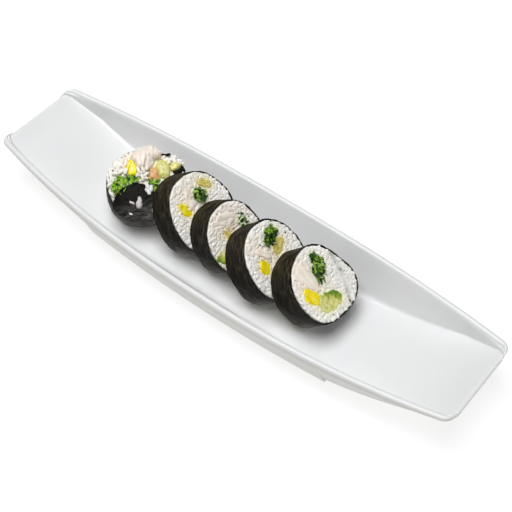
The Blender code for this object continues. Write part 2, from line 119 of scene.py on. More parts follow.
def filling(number, kind, across, up, length, width, turn, lobes=3, depth=0.05, proud=0.4):
    """A filling, with its sizes given in millimetres."""
    return Filling(number, kind, across * MM, up * MM, length * MM, width * MM, turn,
                   lobes, depth, proud * MM, None)


def drawn(kind, proud, *corners):
    """A piece on the torn slice from the corners of its outline, in millimetres.

    Its outline is the distance from its middle for each direction, linear between the corners and
    then averaged over the neighbouring directions."""
    corners = np.array(corners) * MM
    low, high = corners.min(axis=0), corners.max(axis=0)
    middle = corners.mean(axis=0)
    angle = np.arctan2(*(corners - middle).T[::-1])
    order = np.argsort(angle)
    distance = np.hypot(*(corners - middle).T)
    reach = np.interp(OUTLINE_TURNS, angle[order], distance[order], period=2 * math.pi)
    reach = sum(np.roll(reach, step) for step in range(-3, 4)) / 7
    return Filling(TORN, kind, *middle, *(high - low), 0.0, 0, 0.0, proud * MM, reach)


FILLINGS = (
    filling(5, "greens", 3.4, 10.2, 20.0, 8.6, 68, 5, 0.10),
    filling(5, "fish", -8.0, 11.0, 20.5, 10.0, 97),
    filling(5, "pickle", -13.0, -0.3, 14.2, 9.2, 115, 4, 0.06),
    filling(5, "cucumber", -4.6, -10.4, 20.0, 12.6, 160),
    filling(4, "greens", 7.6, 13.6, 15.0, 8.0, 24, 5, 0.12),
    filling(4, "omelette", 7.8, 5.0, 12.6, 8.0, 20),
    filling(4, "pickle", -10.3, 1.8, 10.0, 8.2, 62, 4, 0.06),
    filling(4, "fish", -5.2, 8.4, 14.0, 5.4, 125),
    filling(4, "cucumber", 1.5, -11.5, 17.0, 11.0, 165),
    filling(3, "fish", -0.8, 14.0, 14.5, 9.0, 150),
    filling(3, "omelette", -4.2, 5.0, 7.4, 6.0, 85, 3, 0.08),
    filling(3, "greens", 9.4, 6.4, 8.0, 4.4, 110, 4, 0.12),
    filling(3, "cucumber", -14.4, -6.2, 11.5, 7.6, 150),
    filling(2, "omelette", 12.0, 13.8, 11.5, 7.2, 131),
    filling(2, "greens", 5.0, 9.5, 9.4, 9.0, 142, 5, 0.10),
    filling(2, "fish", -4.2, 10.8, 16.0, 4.8, 76),
    filling(2, "pickle", -10.5, 7.2, 12.2, 6.8, 106, 4, 0.06),
    filling(2, "cucumber", -2.0, -11.0, 17.0, 11.0, 165),
    filling(1, "greens_left", -17.6, 1.6, 9.5, 6.8, 70, 5, 0.12, 3.5),
    filling(1, "greens_middle", -9.4, 4.4, 8.4, 4.6, 18, 5, 0.12, 4.0),
    filling(1, "greens_right", 4.8, -1.6, 9.0, 6.0, 148, 5, 0.12, 3.0),
    filling(1, "pickle", -8.6, 12.4, 9.5, 4.6, 66, 4, 0.06, 6.0),
    filling(1, "fish", -0.6, 14.2, 13.5, 9.4, 72, 3, 0.05, 9.0),
    filling(1, "carrot", 5.6, 5.8, 6.4, 4.6, 79, 3, 0.06, 5.5),
    filling(1, "cucumber", 11.8, 7.8, 11.0, 6.0, 85, 3, 0.05, 5.5),
    filling(1, "avocado", 18.6, 6.6, 6.2, 4.6, 70, 3, 0.05, 4.0),
)
PROUD = 1 * MM                      # a filling that stands out further than this is a loose heap
EDGE_DROP = {"fish": 0.5, "omelette": 0.7}          # how far a filling's edge falls, in millimetres
SWELL = {"fish": 0.8, "omelette": 1.3, "cucumber": 1.0, "pickle": 0.8}      # unevenness of its sides
RELIEF = {                          # depth and spacing of its cut face's unevenness, in millimetres
    "fish": ((0.5, 4.0),), "omelette": ((0.25, 2.0),), "pickle": ((0.35, 3.5), (0.08, 0.8)),
    "cucumber": ((0.4, 1.7), (0.3, 5.0)), "carrot": ((0.3, 1.5),), "greens": ((0.7, 1.6),),
    "avocado": ((0.35, 3.0),),
}
SKIN_DIRECTION = {1: 110, 2: 40, 3: 200, 4: 40, 5: 40}      # of the cucumber's skin, in degrees
SPARSE = (3, "greens")              # the bunch that shows only as bits between the grains
SPARSE_LEAVES = 0.4                 # its share of the usual leaves
SPARSE_SPREAD = 1.5                 # and how far they lie beyond its outline
LEAF_AREA = 1.3 * MM * MM           # of a bunch, for each leaf
STEM_SHARE = 0.12                   # stems for each leaf

# Loose pieces on the torn slice
FLAP = drawn("flap", 0.0, (-17.9, -3.6), (-13.9, -1.2), (-9.0, 0.0), (-4.5, -0.7), (-0.6, -3.2),
             (3.5, -9.5), (9.0, -13.0), (14.0, -18.0), (8.0, -27.0), (0.0, -28.0), (-8.0, -27.0),
             (-15.0, -24.0), (-20.0, -20.0), (-24.0, -14.0), (-23.4, -8.4), (-20.6, -5.0))
FLAP_REACH = 1.1 * MM
FLAP_LOOSE = 0.4 * MM
FLAP_BEND = 2.6 * MM                # from where it starts to bend down to the rim
FLAKES = (
    drawn("fish", 7.8, (-8.0, 17.6), (-6.0, 20.0), (-1.6, 21.8), (3.0, 23.6), (7.0, 24.6), (10.6, 21.4),
          (13.0, 17.0), (8.4, 13.2), (3.6, 7.4), (-1.0, 6.0), (-2.8, 10.6)),
    drawn("fish", 8.3, (-7.0, 17.8), (-5.0, 20.0), (-2.0, 21.0), (-0.8, 15.0), (-1.6, 10.0), (-3.8, 12.8)),
    drawn("fish", 8.6, (-1.2, 19.8), (1.8, 22.6), (4.8, 22.8), (4.0, 16.0), (2.2, 9.0), (-0.6, 9.0),
          (-0.8, 14.6)),
    drawn("fish", 8.5, (4.4, 23.0), (7.4, 24.8), (9.4, 21.6), (8.6, 16.8), (5.4, 10.6), (3.6, 12.8),
          (4.6, 18.0)),
    drawn("fish", 7.8, (9.0, 20.4), (11.8, 20.2), (13.6, 16.0), (10.6, 13.6), (7.4, 13.4), (8.0, 17.0)),
    drawn("cucumber", 6.4, (9.8, 12.0), (14.0, 13.0), (16.6, 10.4), (17.0, 4.0), (15.0, -0.8), (10.8, -0.4),
          (9.0, 5.0)),
    drawn("avocado", 5.0, (17.6, 7.6), (20.6, 10.0), (24.4, 9.2), (25.0, 6.6), (20.8, 4.4), (17.6, 4.0),
          (16.8, 6.0)),
    drawn("carrot", 5.8, (1.8, 0.6), (2.2, 4.6), (4.6, 9.4), (7.4, 9.2), (9.4, 5.4), (9.6, -0.6),
          (5.4, -1.6)),
    drawn("pickle", 6.0, (-10.6, 4.4), (-9.4, 10.0), (-7.6, 16.6), (-4.2, 17.6), (-4.4, 11.6), (-6.6, 4.4)),
)
FLAKE_TURN = 74                     # of the fibres in the drawn pieces, in degrees
FLAKE_DEEPER = 2 * MM               # how far a drawn piece reaches below the rice's edge
LUMPS = {"fish": 0.6, "cucumber": 0.15, "avocado": 0.7, "carrot": 0.7, "pickle": 0.12}      # unevenness
FINE_LUMPS = 0.55                   # share of the finer of its two noises
BLUNT = {"fish": 0.75, "cucumber": 0.45, "avocado": 0.6, "carrot": 0.5, "pickle": 0.35}
RELIEF_DEPTH = {"fish": 1.4}        # times the usual relief; other kinds have 0.5
BUNCHES = {                         # outlines of its greens
    "greens_left": drawn("greens", 3.0, (-20.4, 4.0), (-18.4, 6.6), (-15.6, 6.4), (-13.6, 3.0),
                         (-14.8, -3.6), (-17.6, -6.6), (-20.4, -5.0)),
    "greens_middle": drawn("greens", 3.6, (-14.5, 2.4), (-10.6, 5.6), (-6.0, 6.0), (-2.6, 7.2),
                           (-4.0, 2.6), (-9.6, -0.8), (-15.4, -2.6)),
    "greens_right": drawn("greens", 3.0, (0.8, -1.2), (4.0, 0.8), (8.4, 1.0), (10.6, -1.2), (7.8, -6.8),
                          (4.2, -8.0), (1.8, -4.0)),
}
HEAPS = ((2.0, 15.0, 1.6, 8.0), (-15.0, 13.0, 1.6, 6.0), (22.0, 10.5, 2.4, 5.0))    # across, up, rise, reach
OVERHANGS = ((19, 13, 3.6), (60, 14, -0.5), (100, 22, -0.4), (140, 20, 0.8))        # degrees, width, amount
TEARS = ((94, 74, 4.0),)            # where its band is lower: degrees, width, amount

# Surfaces of the food: depth and spacing of their unevenness, in millimetres, and other shares
BAND_BUMPS = ((0.42, 7.0, 40), (0.26, 2.6, 50))     # where grains press through; the last is a seed
BAND_RIDGES = (0.12, 0.9, 60)       # round the roll
BAND_SINKS = 0.2 * MM               # at the most, between the bumps
BAND_EDGE_POWER = 14                # how late the sheet is drawn in towards its cut edges
FLAP_CRUMPLES = ((1.3, 5.5), (0.5, 1.7))
FLAP_DROP = 4.0 * MM                # over the band's edge
CORE_ROUGHNESS = (0.2, 2.0)
GRAIN_POWER = 2.3                   # of a grain's oval section
GRAIN_BEND = 0.12                   # of its width
GRAIN_SCATTER = 0.33                # of the spacing between grains
GRAIN_TILT = 0.35                   # in radians, on a cut face
LOOSE_TILT = 0.25                   # and on the torn one
LOOSE_LAYERS = ((0.0, 1.0), (1.2 * MM, 1.5))        # height, and spacing as a share of the usual
GRAIN_SINKS = (-0.26, 0.09)         # mean and spread of a grain's height, as shares of its width
CUT_SHARE = 0.88                    # of what stands out of the knife's plane
CUT_WAVE = (0.25, 6.0)              # the plane's own unevenness
FACE_MARGIN = 0.5 * MM              # between the rim and the outermost grain's middle
TORN_CLEARANCE = 0.7 * MM           # more room round the torn slice's fillings
NEIGHBOUR_CLEARANCE = 0.6 * MM

# What the faces show: places across and up the face, in millimetres
CREASED = 5                         # the slice with a fold in its rice
CREASE = ((18.5, 10.2), (17.6, 2.8), (16.4, -5.9), (12.5, -14.1), (8.9, -20.9))
CREASE_DEPTH = 1.8 * MM
CREASE_WIDTH = 1.1 * MM
CREASE_STAINS = (((0.5, 0.53, 0.52), CREASE_WIDTH), ((0.93, 0.94, 0.925), 5 * MM))      # painted shade in the fold and on the rice beside it: tint, reach
CLEARANCE = {"fish": -2.6, "greens": 0.5, "cucumber": -0.5, "omelette": -1.3, "pickle": -0.1,
             "sparse": -1.4}        # from a filling's outline to the first grain; other kinds have 0.9
STAINS = {                          # reach in millimetres, tint
    "fish": (6.5, (1.0, 0.91, 0.83)), "pickle": (1.3, (1.0, 0.97, 0.72)),
    "omelette": (2.4, (1.0, 0.96, 0.74)), "cucumber": (1.8, (0.96, 0.98, 0.76)),
    "greens": (1.0, (0.88, 0.96, 0.76)), "carrot": (1.6, (1.0, 0.92, 0.8)),
    "avocado": (2.0, (1.0, 0.99, 0.78)),
}
STRAY_GRAINS = (                    # across, up, height over the rice, turn in degrees, length, girth
    (-7.5, -14.8, 1.6, 84, 1.25, 1.85), (-6.8, -12.3, 1.6, 80, 1.0, 1.15),
    (-11.9, -12.8, 2.3, 145, 0.75, 0.75),
    (0.9, -20.8, 2.4, 98, 1.0, 0.6), (-13.8, -19.4, 2.3, 150, 0.5, 0.6), (0.9, -26.2, 2.6, 60, 0.4, 0.6),
    (0.3, -4.0, 1.6, 100, 0.8, 1.3), (1.8, -6.4, 1.8, 70, 0.7, 1.2), (0.4, -8.4, 1.8, 95, 0.7, 1.1),
    (-0.6, -6.2, 1.2, 110, 0.7, 1.2), (2.0, -4.6, 1.2, 20, 0.7, 1.0), (-17.4, 15.0, 0.6, 40, 1.0, 1.0),
    (-13.5, 18.0, 0.6, 110, 1.0, 1.0), (19.5, 13.4, 0.9, 20, 1.0, 1.0), (21.5, 11.0, 1.0, 100, 1.0, 1.0),
    (16.5, 14.5, 0.8, 160, 1.0, 1.0), (-22.3, -3.7, 0.3, 95, 1.0, 1.0), (-21.8, 6.6, 0.4, 80, 1.0, 1.0),
    (24.6, 9.5, 0.6, 130, 1.0, 1.0), (-2.6, 5.2, 2.0, 60, 1.0, 1.0), (-0.4, 6.6, 3.2, 110, 1.0, 1.0),
    (1.0, 4.2, 2.4, 30, 1.0, 1.0), (-1.6, 2.4, 1.5, 80, 1.0, 1.0), (2.2, 7.8, 3.8, 70, 0.9, 1.0),
    (-3.6, 7.6, 2.8, 100, 1.0, 1.0), (0.2, 2.2, 1.6, 140, 1.0, 1.0), (-4.6, 5.0, 1.8, 40, 0.9, 1.0),
    (14.4, 14.4, 1.2, 20, 1.0, 1.0), (17.6, 10.2, 2.2, 70, 1.0, 1.0), (-10.6, 14.6, 2.2, 75, 1.0, 1.0),
    (-12.6, 11.6, 2.0, 120, 1.0, 1.0), (-11.8, 8.6, 1.8, 60, 1.0, 1.0), (-14.6, 9.2, 1.6, 30, 1.0, 1.0),
    (-16.2, 12.2, 1.4, 95, 1.0, 1.0), (-18.4, 9.8, 1.0, 50, 1.0, 1.0),
)
STRAY_TINTS = (                     # from, to, tint
    (0, 11, (0.86, 0.88, 0.9)),     # damp, beside the flap
    (0, 4, (0.70, 0.65, 0.66)),     # the first of them lie on the flap, soaked and glassy
    (-15, None, (1.0, 0.96, 0.89)),     # between the fillings, whose colour they take
)
FLECKS = (                          # slice, from x, y, to x, y, width, height, lift
    (1, 12.8, 16.6, 20.6, 14.6, 2.0, 0.7, 4.0), (1, 18.0, 1.5, 28.5, 5.6, 5.5, 0.7, 1.6),
    (1, -20.2, 11.5, -18.9, 12.0, 1.2, 0.5, 1.2), (1, -23.2, 7.0, -22.0, 8.0, 1.2, 0.5, 1.0),
    (2, 12.6, 5.4, 13.3, 2.0, 0.7, 0.5, 0.2),
    (3, 9.0, 12.3, 10.4, 11.0, 0.6, 0.5, 0.2), (3, 11.8, 10.6, 13.0, 9.4, 0.7, 0.5, 0.3),
    (3, 12.6, 5.4, 12.0, 3.6, 0.6, 0.5, 0.2), (3, 14.6, 8.0, 15.8, 7.2, 0.5, 0.5, 0.2),
    (4, 13.8, 20.0, 15.2, 19.8, 1.1, 0.6, 0.3), (4, -4.9, 16.4, -1.3, 11.0, 0.55, 0.6, 0.3),
    (4, 17.6, 7.6, 18.6, 6.6, 0.8, 0.5, 0.3),
    (5, -8.9, -18.0, -7.7, -18.3, 0.7, 0.5, 0.2), (5, -4.4, -21.2, -3.2, -21.8, 0.6, 0.5, 0.1),
    (5, 12.1, -17.6, 7.7, -22.0, 0.7, 1.4, 0.1),
)
CRUMBS = {2: 8, 3: 22, 4: 12, 5: 9}         # how many crumbs of nori each cut face has

# Fineness of the meshes
BAND_ROUND = 300                    # points round a nori band
BAND_OUTSIDE = 30                   # points across its outside
BAND_INSIDE = 6
FLAP_ROUND = 180
FLAP_RINGS = 30                     # rings on each of its faces
CORE_ROUND = 120
PLUG_ROUND = 72                     # points round a filling
PLUG_RINGS = 12                     # rings on each of its faces
LUMP_RINGS = 22
GRAIN_ROUND = 8
GRAIN_RINGS = 5
LEAF_ROUND = 8
LEAF_RINGS = 7
NOISE_BLOCK = 32

# Studio: place, the point looked at, width, height and colour of each soft light
KEY_LIGHT = ((-0.1, -0.22, 1.36), (0, 0, 0.02), 1.1, 0.8, "#fdfeff")
SIDE_LIGHT = ((1.2, 0.35, 0.8), (0.03, 0, 0.03), 0.7, 0.6, "#ffffff")
CAMERA_RIGHT = 11.8 * MM            # of the view's middle from the plate's
CAMERA_UP = 10.5 * MM
TABLE_RADIUS = 4.0


def linear(shade):
    """The linear red, green and blue of an sRGB hex colour."""
    channels = np.array([int(shade[k:k + 2], 16) for k in (1, 3, 5)]) / 255
    low = channels / 12.92
    high = ((channels + 0.055) / 1.055) ** 2.4
    return tuple(float(c) for c in np.where(channels <= 0.04045, low, high))


def shade(name, description, value):
    """A colour property with an sRGB hex default."""
    return bpy.props.FloatVectorProperty(name=name, description=description, subtype="COLOR",
                                         size=3, min=0, max=1, default=linear(value))


def size(name, description, value, unit="LENGTH"):
    """A size property."""
    return bpy.props.FloatProperty(name=name, description=description, default=value, unit=unit)


class MakiSizes(bpy.types.PropertyGroup):
    """Sizes of what covers the slices."""
    grain_length: size("Grain length", "Length of a cooked grain of rice", 5.4 * MM)
    grain_width: size("Grain width", "Width of a cooked grain of rice", 2.7 * MM)
    grain_spacing: size("Grain spacing", "Distance between grains on a cut face", 2.25 * MM)
    leaf_length: size("Leaf length", "Length of a chopped piece of leaf", 4.8 * MM)
    leaf_thickness: size("Leaf thickness", "Thickness of a piece of leaf", 0.3 * MM)
    stem_width: size("Stem width", "Thickness of a herb stem", 0.9 * MM)


class MakiColours(bpy.types.PropertyGroup):
    """Colours of the plate and the food."""
    glaze: shade("Glaze", "White glaze of the plate", "#eaeaea")
    bisque: shade("Bisque", "Bare clay under the foot ring", "#d8d2c6")
    nori_dark: shade("Nori, dark", "Thick parts of the seaweed sheet", "#100e0a")
    nori_middle: shade("Nori, middle", "Most of the seaweed sheet", "#1b1710")
    # nori_light: brown streaks of the sheet, shown only high on the roll, partly as painted sheen
    nori_light: shade("Nori, light", "Thin, dry streaks of the seaweed sheet", "#5c5036")
    # a grey painted reflection of the plate, laid on the low parts of the sheet
    nori_bloom: shade("Nori, bloom", "Grey bloom of the soaked sheet low on the roll", "#8a8782")
    nori_wet: shade("Nori, wet", "Soaked seaweed", "#0b0c0d")
    rice: shade("Rice", "Cooked rice", "#faf8f3")
    rice_cool: shade("Rice, cool", "Glassy grains", "#eceeec")
    rice_warm: shade("Rice, warm", "Seasoned grains", "#fbf1df")
    # the deepest leaves and the cores of the bunches get half of this dark, as painted shade
    leaf_dark: shade("Leaf, dark", "Folded leaves", "#1f4f12")
    leaf_light: shade("Leaf, light", "Leaf tips", "#9cc53f")
    stem: shade("Stem", "Pale herb stems", "#c3d49a")
    fish: shade("Fish", "Pale pink fish", "#fbf2e6")
    fish_pink: shade("Fish, pink", "Pink seams of the fish", "#f6e2d0")
    pickle: shade("Pickle", "Pickled radish", "#fdea1e")
    pickle_deep: shade("Pickle, deep", "Thick parts of the pickle", "#f3d40c")
    cucumber: shade("Cucumber", "Cucumber flesh", "#e4df94")
    cucumber_green: shade("Cucumber, green", "Flesh next to the skin", "#acb63c")
    skin: shade("Cucumber skin", "Skin of the cucumber", "#5d8c2a")
    omelette: shade("Omelette", "Pale egg", "#eadb7e")
    omelette_deep: shade("Omelette, deep", "Browner egg", "#b59e40")
    carrot: shade("Carrot", "Stewed carrot", "#e9b678")
    avocado: shade("Avocado", "Ripe avocado", "#e4e088")
    floor: shade("Table", "Opal acrylic of the studio table", "#8f8f8f")


class MakiStudio(bpy.types.PropertyGroup):
    """The camera and the light."""
    azimuth: bpy.props.FloatProperty(name="Azimuth", description="Camera's turn from the front",
                                     subtype="ANGLE", default=0.6415)
    elevation: bpy.props.FloatProperty(name="Elevation", description="Camera's height over the horizon",
                                       subtype="ANGLE", default=math.radians(50))
    roll: bpy.props.FloatProperty(name="Roll", description="Camera's roll", subtype="ANGLE", default=0.03)
    distance: size("Distance", "From the camera to the plate's middle", 0.7792)
    lens: bpy.props.FloatProperty(name="Lens", description="Focal length in millimetres",
                                  subtype="DISTANCE_CAMERA", default=82.93)
    key_power: bpy.props.FloatProperty(name="Key light", description="Power of the soft light overhead",
                                       default=20.2, unit="POWER")
    side_power: bpy.props.FloatProperty(name="Side light", description="Power of the soft light at right",
                                        default=2.0, unit="POWER")
    sky: bpy.props.FloatProperty(name="Room", description="Strength of the white room", default=0.06)
    table_glow: bpy.props.FloatProperty(name="Table", description="Strength of the light under the table",
                                        default=0.78)


# Meshes from arrays

def grid_quads(rows, columns, closed_rows=False, closed_columns=False):
    """Corner numbers of the quads of a grid of points that may close on itself either way."""
    r = np.arange(rows if closed_rows else rows - 1)
    c = np.arange(columns if closed_columns else columns - 1)
    r, c = np.meshgrid(r, c, indexing="ij")
    after_r, after_c = (r + 1) % rows, (c + 1) % columns
    corners = [r * columns + c, r * columns + after_c, after_r * columns + after_c, after_r * columns + c]
    return np.stack(corners, axis=-1).reshape(-1, 4)


def tubes(rings):
    """Points and faces of closed tubes: rings of points joined by quads, with a fan at each end.

    rings has the shape (tubes, rings, points round, 3); each fan's tip is its ring's mean."""
    count, stations, around, _ = rings.shape
    tips = rings[:, [0, -1]].mean(axis=2)
    points = np.concatenate([rings.reshape(count, -1, 3), tips], axis=1)
    quads = grid_quads(stations, around, closed_columns=True)
    c = np.arange(around)
    after = (c + 1) % around
    last = (stations - 1) * around
    first_tip = stations * around
    start = np.stack([np.full(around, first_tip), after, c], axis=-1)
    end = np.stack([last + c, last + after, np.full(around, first_tip + 1)], axis=-1)
    step = np.arange(count)[:, None, None] * points.shape[1]
    quads = (quads[None] + step).reshape(-1, 4)
    triangles = (np.concatenate([start, end])[None] + step).reshape(-1, 3)
    return points.reshape(-1, 3), quads, triangles


def join(parts):
    """One set of points, faces and attributes from several, each (points, quads, triangles, values)."""
    points, quads, triangles, values = [], [], [], []
    first = 0
    for part_points, part_quads, part_triangles, part_values in parts:
        points.append(part_points)
        quads.append(part_quads + first)
        triangles.append(part_triangles + first)
        values.append(part_values)
        first += len(part_points)
    merged = {name: np.concatenate([value[name] for value in values]) for name in values[0]}
    return np.concatenate(points), np.concatenate(quads), np.concatenate(triangles), merged


def new_piece(name, part, finish, replaced):
    """An object from a part, (points, quads, triangles, values at the points), that rides on the body
    and replaces CAD nodes."""
    points, quads, triangles, values = part
    mesh = bpy.data.meshes.new(name)
    mesh.vertices.add(len(points))
    mesh.vertices.foreach_set("co", np.asarray(points, np.float32).ravel())
    corners = np.concatenate([quads.ravel(), triangles.ravel()]).astype(np.int32)
    totals = np.concatenate([np.full(len(quads), 4), np.full(len(triangles), 3)]).astype(np.int32)
    starts = np.concatenate([[0], np.cumsum(totals)[:-1]]).astype(np.int32)
    mesh.loops.add(len(corners))
    mesh.loops.foreach_set("vertex_index", corners)
    mesh.polygons.add(len(totals))
    mesh.polygons.foreach_set("loop_start", starts)
    mesh.polygons.foreach_set("use_smooth", np.ones(len(totals), bool))
    for label, value in values.items():
        kind, key = ("FLOAT_VECTOR", "vector") if value.ndim == 2 else ("FLOAT", "value")
        attribute = mesh.attributes.new(label, kind, "POINT")
        attribute.data.foreach_set(key, value.astype(np.float32).ravel())
    mesh.update(calc_edges=True)
    mesh.validate()
    made = bpy.data.objects.new(name, mesh)
    bpy.context.scene.collection.objects.link(made)
    made.data.materials.append(finish)
    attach(made, BODY)
    if replaced:
        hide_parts(*replaced)


def turns(count):
    """Evenly spaced directions round a circle."""
    return np.linspace(0, 2 * math.pi, count, endpoint=False)


def polar(radius, angle):
    """Places at these distances and directions from the middle."""
    return np.stack([radius * np.cos(angle), radius * np.sin(angle)], axis=-1)


def raised(places, height):
    """Flat places lifted to these heights."""
    return np.concatenate([places, np.broadcast_to(height, places.shape[:-1])[..., None]], axis=-1)


def noise(points, spacing, seed):
    """Smooth noise from -1 to 1: random values on a cubic lattice, blended by 3t squared less 2t cubed."""
    block = np.random.default_rng(seed).uniform(-1, 1, (NOISE_BLOCK,) * 3)
    place = np.asarray(points) / spacing + 7.3
    cell = np.floor(place).astype(int)
    t = place - cell
    t = t * t * (3 - 2 * t)
    total = np.zeros(place.shape[:-1])
    for corner in itertools.product((0, 1), repeat=3):
        weight = np.prod(np.where(corner, t, 1 - t), axis=-1)
        i, j, k = np.moveaxis((cell + corner) % NOISE_BLOCK, -1, 0)
        total += weight * block[i, j, k]
    return total


# Materials

def node(tree, kind, values=None, links=None, stops=None, **settings):
    """Add a node with its settings, its sockets' values, the sockets or nodes that feed them and its
    ramp's stops."""
    made = tree.nodes.new("ShaderNode" + kind)
    for name, value in settings.items():
        setattr(made, name, value)
    for name, value in (values or {}).items():
        made.inputs[name].default_value = value
    for name, source in (links or {}).items():
        feed = source.outputs[0] if isinstance(source, bpy.types.Node) else source
        tree.links.new(feed, made.inputs[name])
    for number, (position, colour) in enumerate(stops or ()):
        elements = made.color_ramp.elements
        element = elements[number] if number < len(elements) else elements.new(position)
        element.position = position
        element.color = (*colour, 1.0)
    return made


def start_material(name):
    """An empty material and its node tree."""
    made = bpy.data.materials.new(name)
    made.use_nodes = True
    made.node_tree.nodes.clear()
    return made, made.node_tree


def per_mm(length):
    """The scale of a texture whose cells are this long, given in millimetres."""
    return 1 / (length * MM)


def glazed_porcelain(colours):
    """Fired white porcelain, dipped in a clear glaze and left bare under its foot ring.

    The glaze pools and thins a little, so its gloss and its white waver; the bare clay is rough.
    The outside is duller and painted a warm grey: painted shade, as the light comes from overhead."""
    made, tree = start_material("glazed_porcelain")
    place = node(tree, "TexCoord").outputs["Object"]
    outside = node(tree, "Attribute", attribute_name="outside").outputs["Fac"]
    height = node(tree, "SeparateXYZ", links={"Vector": place}).outputs["Z"]
    clouds = node(tree, "TexNoise", {"Scale": per_mm(45), "Detail": 2.0}, {"Vector": place})
    glaze = node(tree, "ValToRGB", links={"Fac": clouds},
                 stops=((0.3, np.array(colours.glaze) * 0.97), (0.7, colours.glaze)))
    near_foot = {"From Min": 0.15 * MM, "From Max": 0.5 * MM, "To Min": 1.0, "To Max": 0.0}
    bare = node(tree, "MapRange", near_foot, {"Value": height})
    # painted shade: past the rim's crown the glaze is multiplied by a warm grey
    coat = node(tree, "Mix", {MIX_B: (*THIN_COAT, 1.0)}, {MIX_FACTOR: outside, MIX_A: glaze},
                data_type="RGBA", blend_type="MULTIPLY")
    colour = node(tree, "Mix", {MIX_B: (*colours.bisque, 1.0)},
                  {MIX_FACTOR: bare, MIX_A: coat.outputs[MIX_RESULT]}, data_type="RGBA")
    gloss = node(tree, "MapRange", {"To Min": 0.28, "To Max": 0.38}, {"Value": clouds})
    dull = node(tree, "Mix", {NUMBER_B: 0.5}, {MIX_FACTOR: outside, NUMBER_A: gloss})
    rough = node(tree, "Mix", {NUMBER_B: 0.75}, {MIX_FACTOR: bare, NUMBER_A: dull})
    ripple = node(tree, "TexNoise", {"Scale": per_mm(9), "Detail": 1.0}, {"Vector": place})
    grit = node(tree, "TexNoise", {"Scale": per_mm(0.6), "Detail": 2.0}, {"Vector": place})
    skin = node(tree, "Mix", links={MIX_FACTOR: bare, NUMBER_A: ripple, NUMBER_B: grit})
    bump = node(tree, "Bump", {"Strength": 0.25, "Distance": 0.05 * MM}, {"Height": skin})
    shader = node(tree, "BsdfPrincipled", {"IOR": 1.5},
                  {"Base Color": colour.outputs[MIX_RESULT], "Roughness": rough, "Normal": bump})
    node(tree, "OutputMaterial", links={"Surface": shader})
    return made


def toasted_nori(colours, wet=False):
    """Dried and toasted seaweed sheet, pressed on a mat: fibres run round the roll.

    The fibres are drawn 0.8 mm apart, a little coarser than real ones. High on the roll the sheet shows
    light brown streaks, partly its own fibres and partly a painted sheen of the overhead light; lower down
    it is almost black, with a grey painted reflection of the plate along the fibres. The flap and the scraps
    are wet all over, and the grey painted reflection lies on their lower parts."""
    made, tree = start_material("soaked_nori" if wet else "toasted_nori")
    sheet = node(tree, "Attribute", attribute_name="sheet").outputs["Vector"]
    across = (per_mm(8), per_mm(1.0), per_mm(4)) if wet else (per_mm(7), per_mm(7), per_mm(0.8))
    stretched = node(tree, "Mapping", {"Scale": across, "Rotation": (0, 0, 0.45 * wet)}, {"Vector": sheet})
    fibres = node(tree, "TexNoise", {"Scale": 1.0, "Detail": 5.0, "Roughness": 0.65, "Distortion": 0.4},
                  {"Vector": stretched})
    patches = node(tree, "TexNoise", {"Scale": per_mm(5), "Detail": 3.0}, {"Vector": sheet})
    damp = node(tree, "ValToRGB", links={"Fac": patches},
                stops=((0.35, colours.nori_wet), (0.75, colours.nori_middle)))
    if wet:
        level = node(tree, "SeparateXYZ", links={"Vector": sheet}).outputs["Y"]
        lowness = {"From Min": -11 * MM, "From Max": -20 * MM, "To Max": 0.5}
    else:
        place = node(tree, "TexCoord").outputs["Object"]
        level = node(tree, "SeparateXYZ", links={"Vector": place}).outputs["Z"]
        lowness = {"From Min": 28 * MM, "From Max": 13 * MM}
    low = node(tree, "MapRange", lowness, {"Value": level})
    streaky = node(tree, "MapRange", {"From Min": 0.4, "From Max": 0.6}, {"Value": fibres})
    # painted reflection: a grey of the plate's white, along the fibres, on the low parts of the band and of
    # the flap
    bloom = node(tree, "Math", links={0: low, 1: streaky}, operation="MULTIPLY")
    colour = node(tree, "Mix", {MIX_B: (*colours.nori_bloom, 1.0)}, {MIX_FACTOR: bloom, MIX_A: damp},
                  data_type="RGBA").outputs[MIX_RESULT]
    if not wet:
        # painted sheen: the light brown streaks fade in from 16 mm to 48 mm up the roll, where the overhead
        # light glances off the sheet
        dryness = node(tree, "MapRange", {"From Min": 16 * MM, "From Max": 48 * MM}, {"Value": level})
        streaks = node(tree, "ValToRGB", links={"Fac": fibres},
                       stops=((0.43, colours.nori_dark), (0.52, colours.nori_middle),
                              (0.62, colours.nori_light)))
        colour = node(tree, "Mix", links={MIX_FACTOR: dryness, MIX_A: colour, MIX_B: streaks},
                      data_type="RGBA").outputs[MIX_RESULT]
    gloss = node(tree, "MapRange", {"To Min": 0.5, "To Max": 0.8}, {"Value": fibres})
    fine = node(tree, "TexNoise", {"Scale": per_mm(0.5), "Detail": 3.0}, {"Vector": sheet})
    relief = node(tree, "Mix", {MIX_FACTOR: 0.35}, {NUMBER_A: fibres, NUMBER_B: fine})
    bump = node(tree, "Bump", {"Strength": 0.8, "Distance": 0.4 * MM}, {"Height": relief})
    shader = node(tree, "BsdfPrincipled", {"Specular IOR Level": 0.16},
                  {"Base Color": colour, "Roughness": gloss, "Normal": bump})
    node(tree, "OutputMaterial", links={"Surface": shader})
    return made


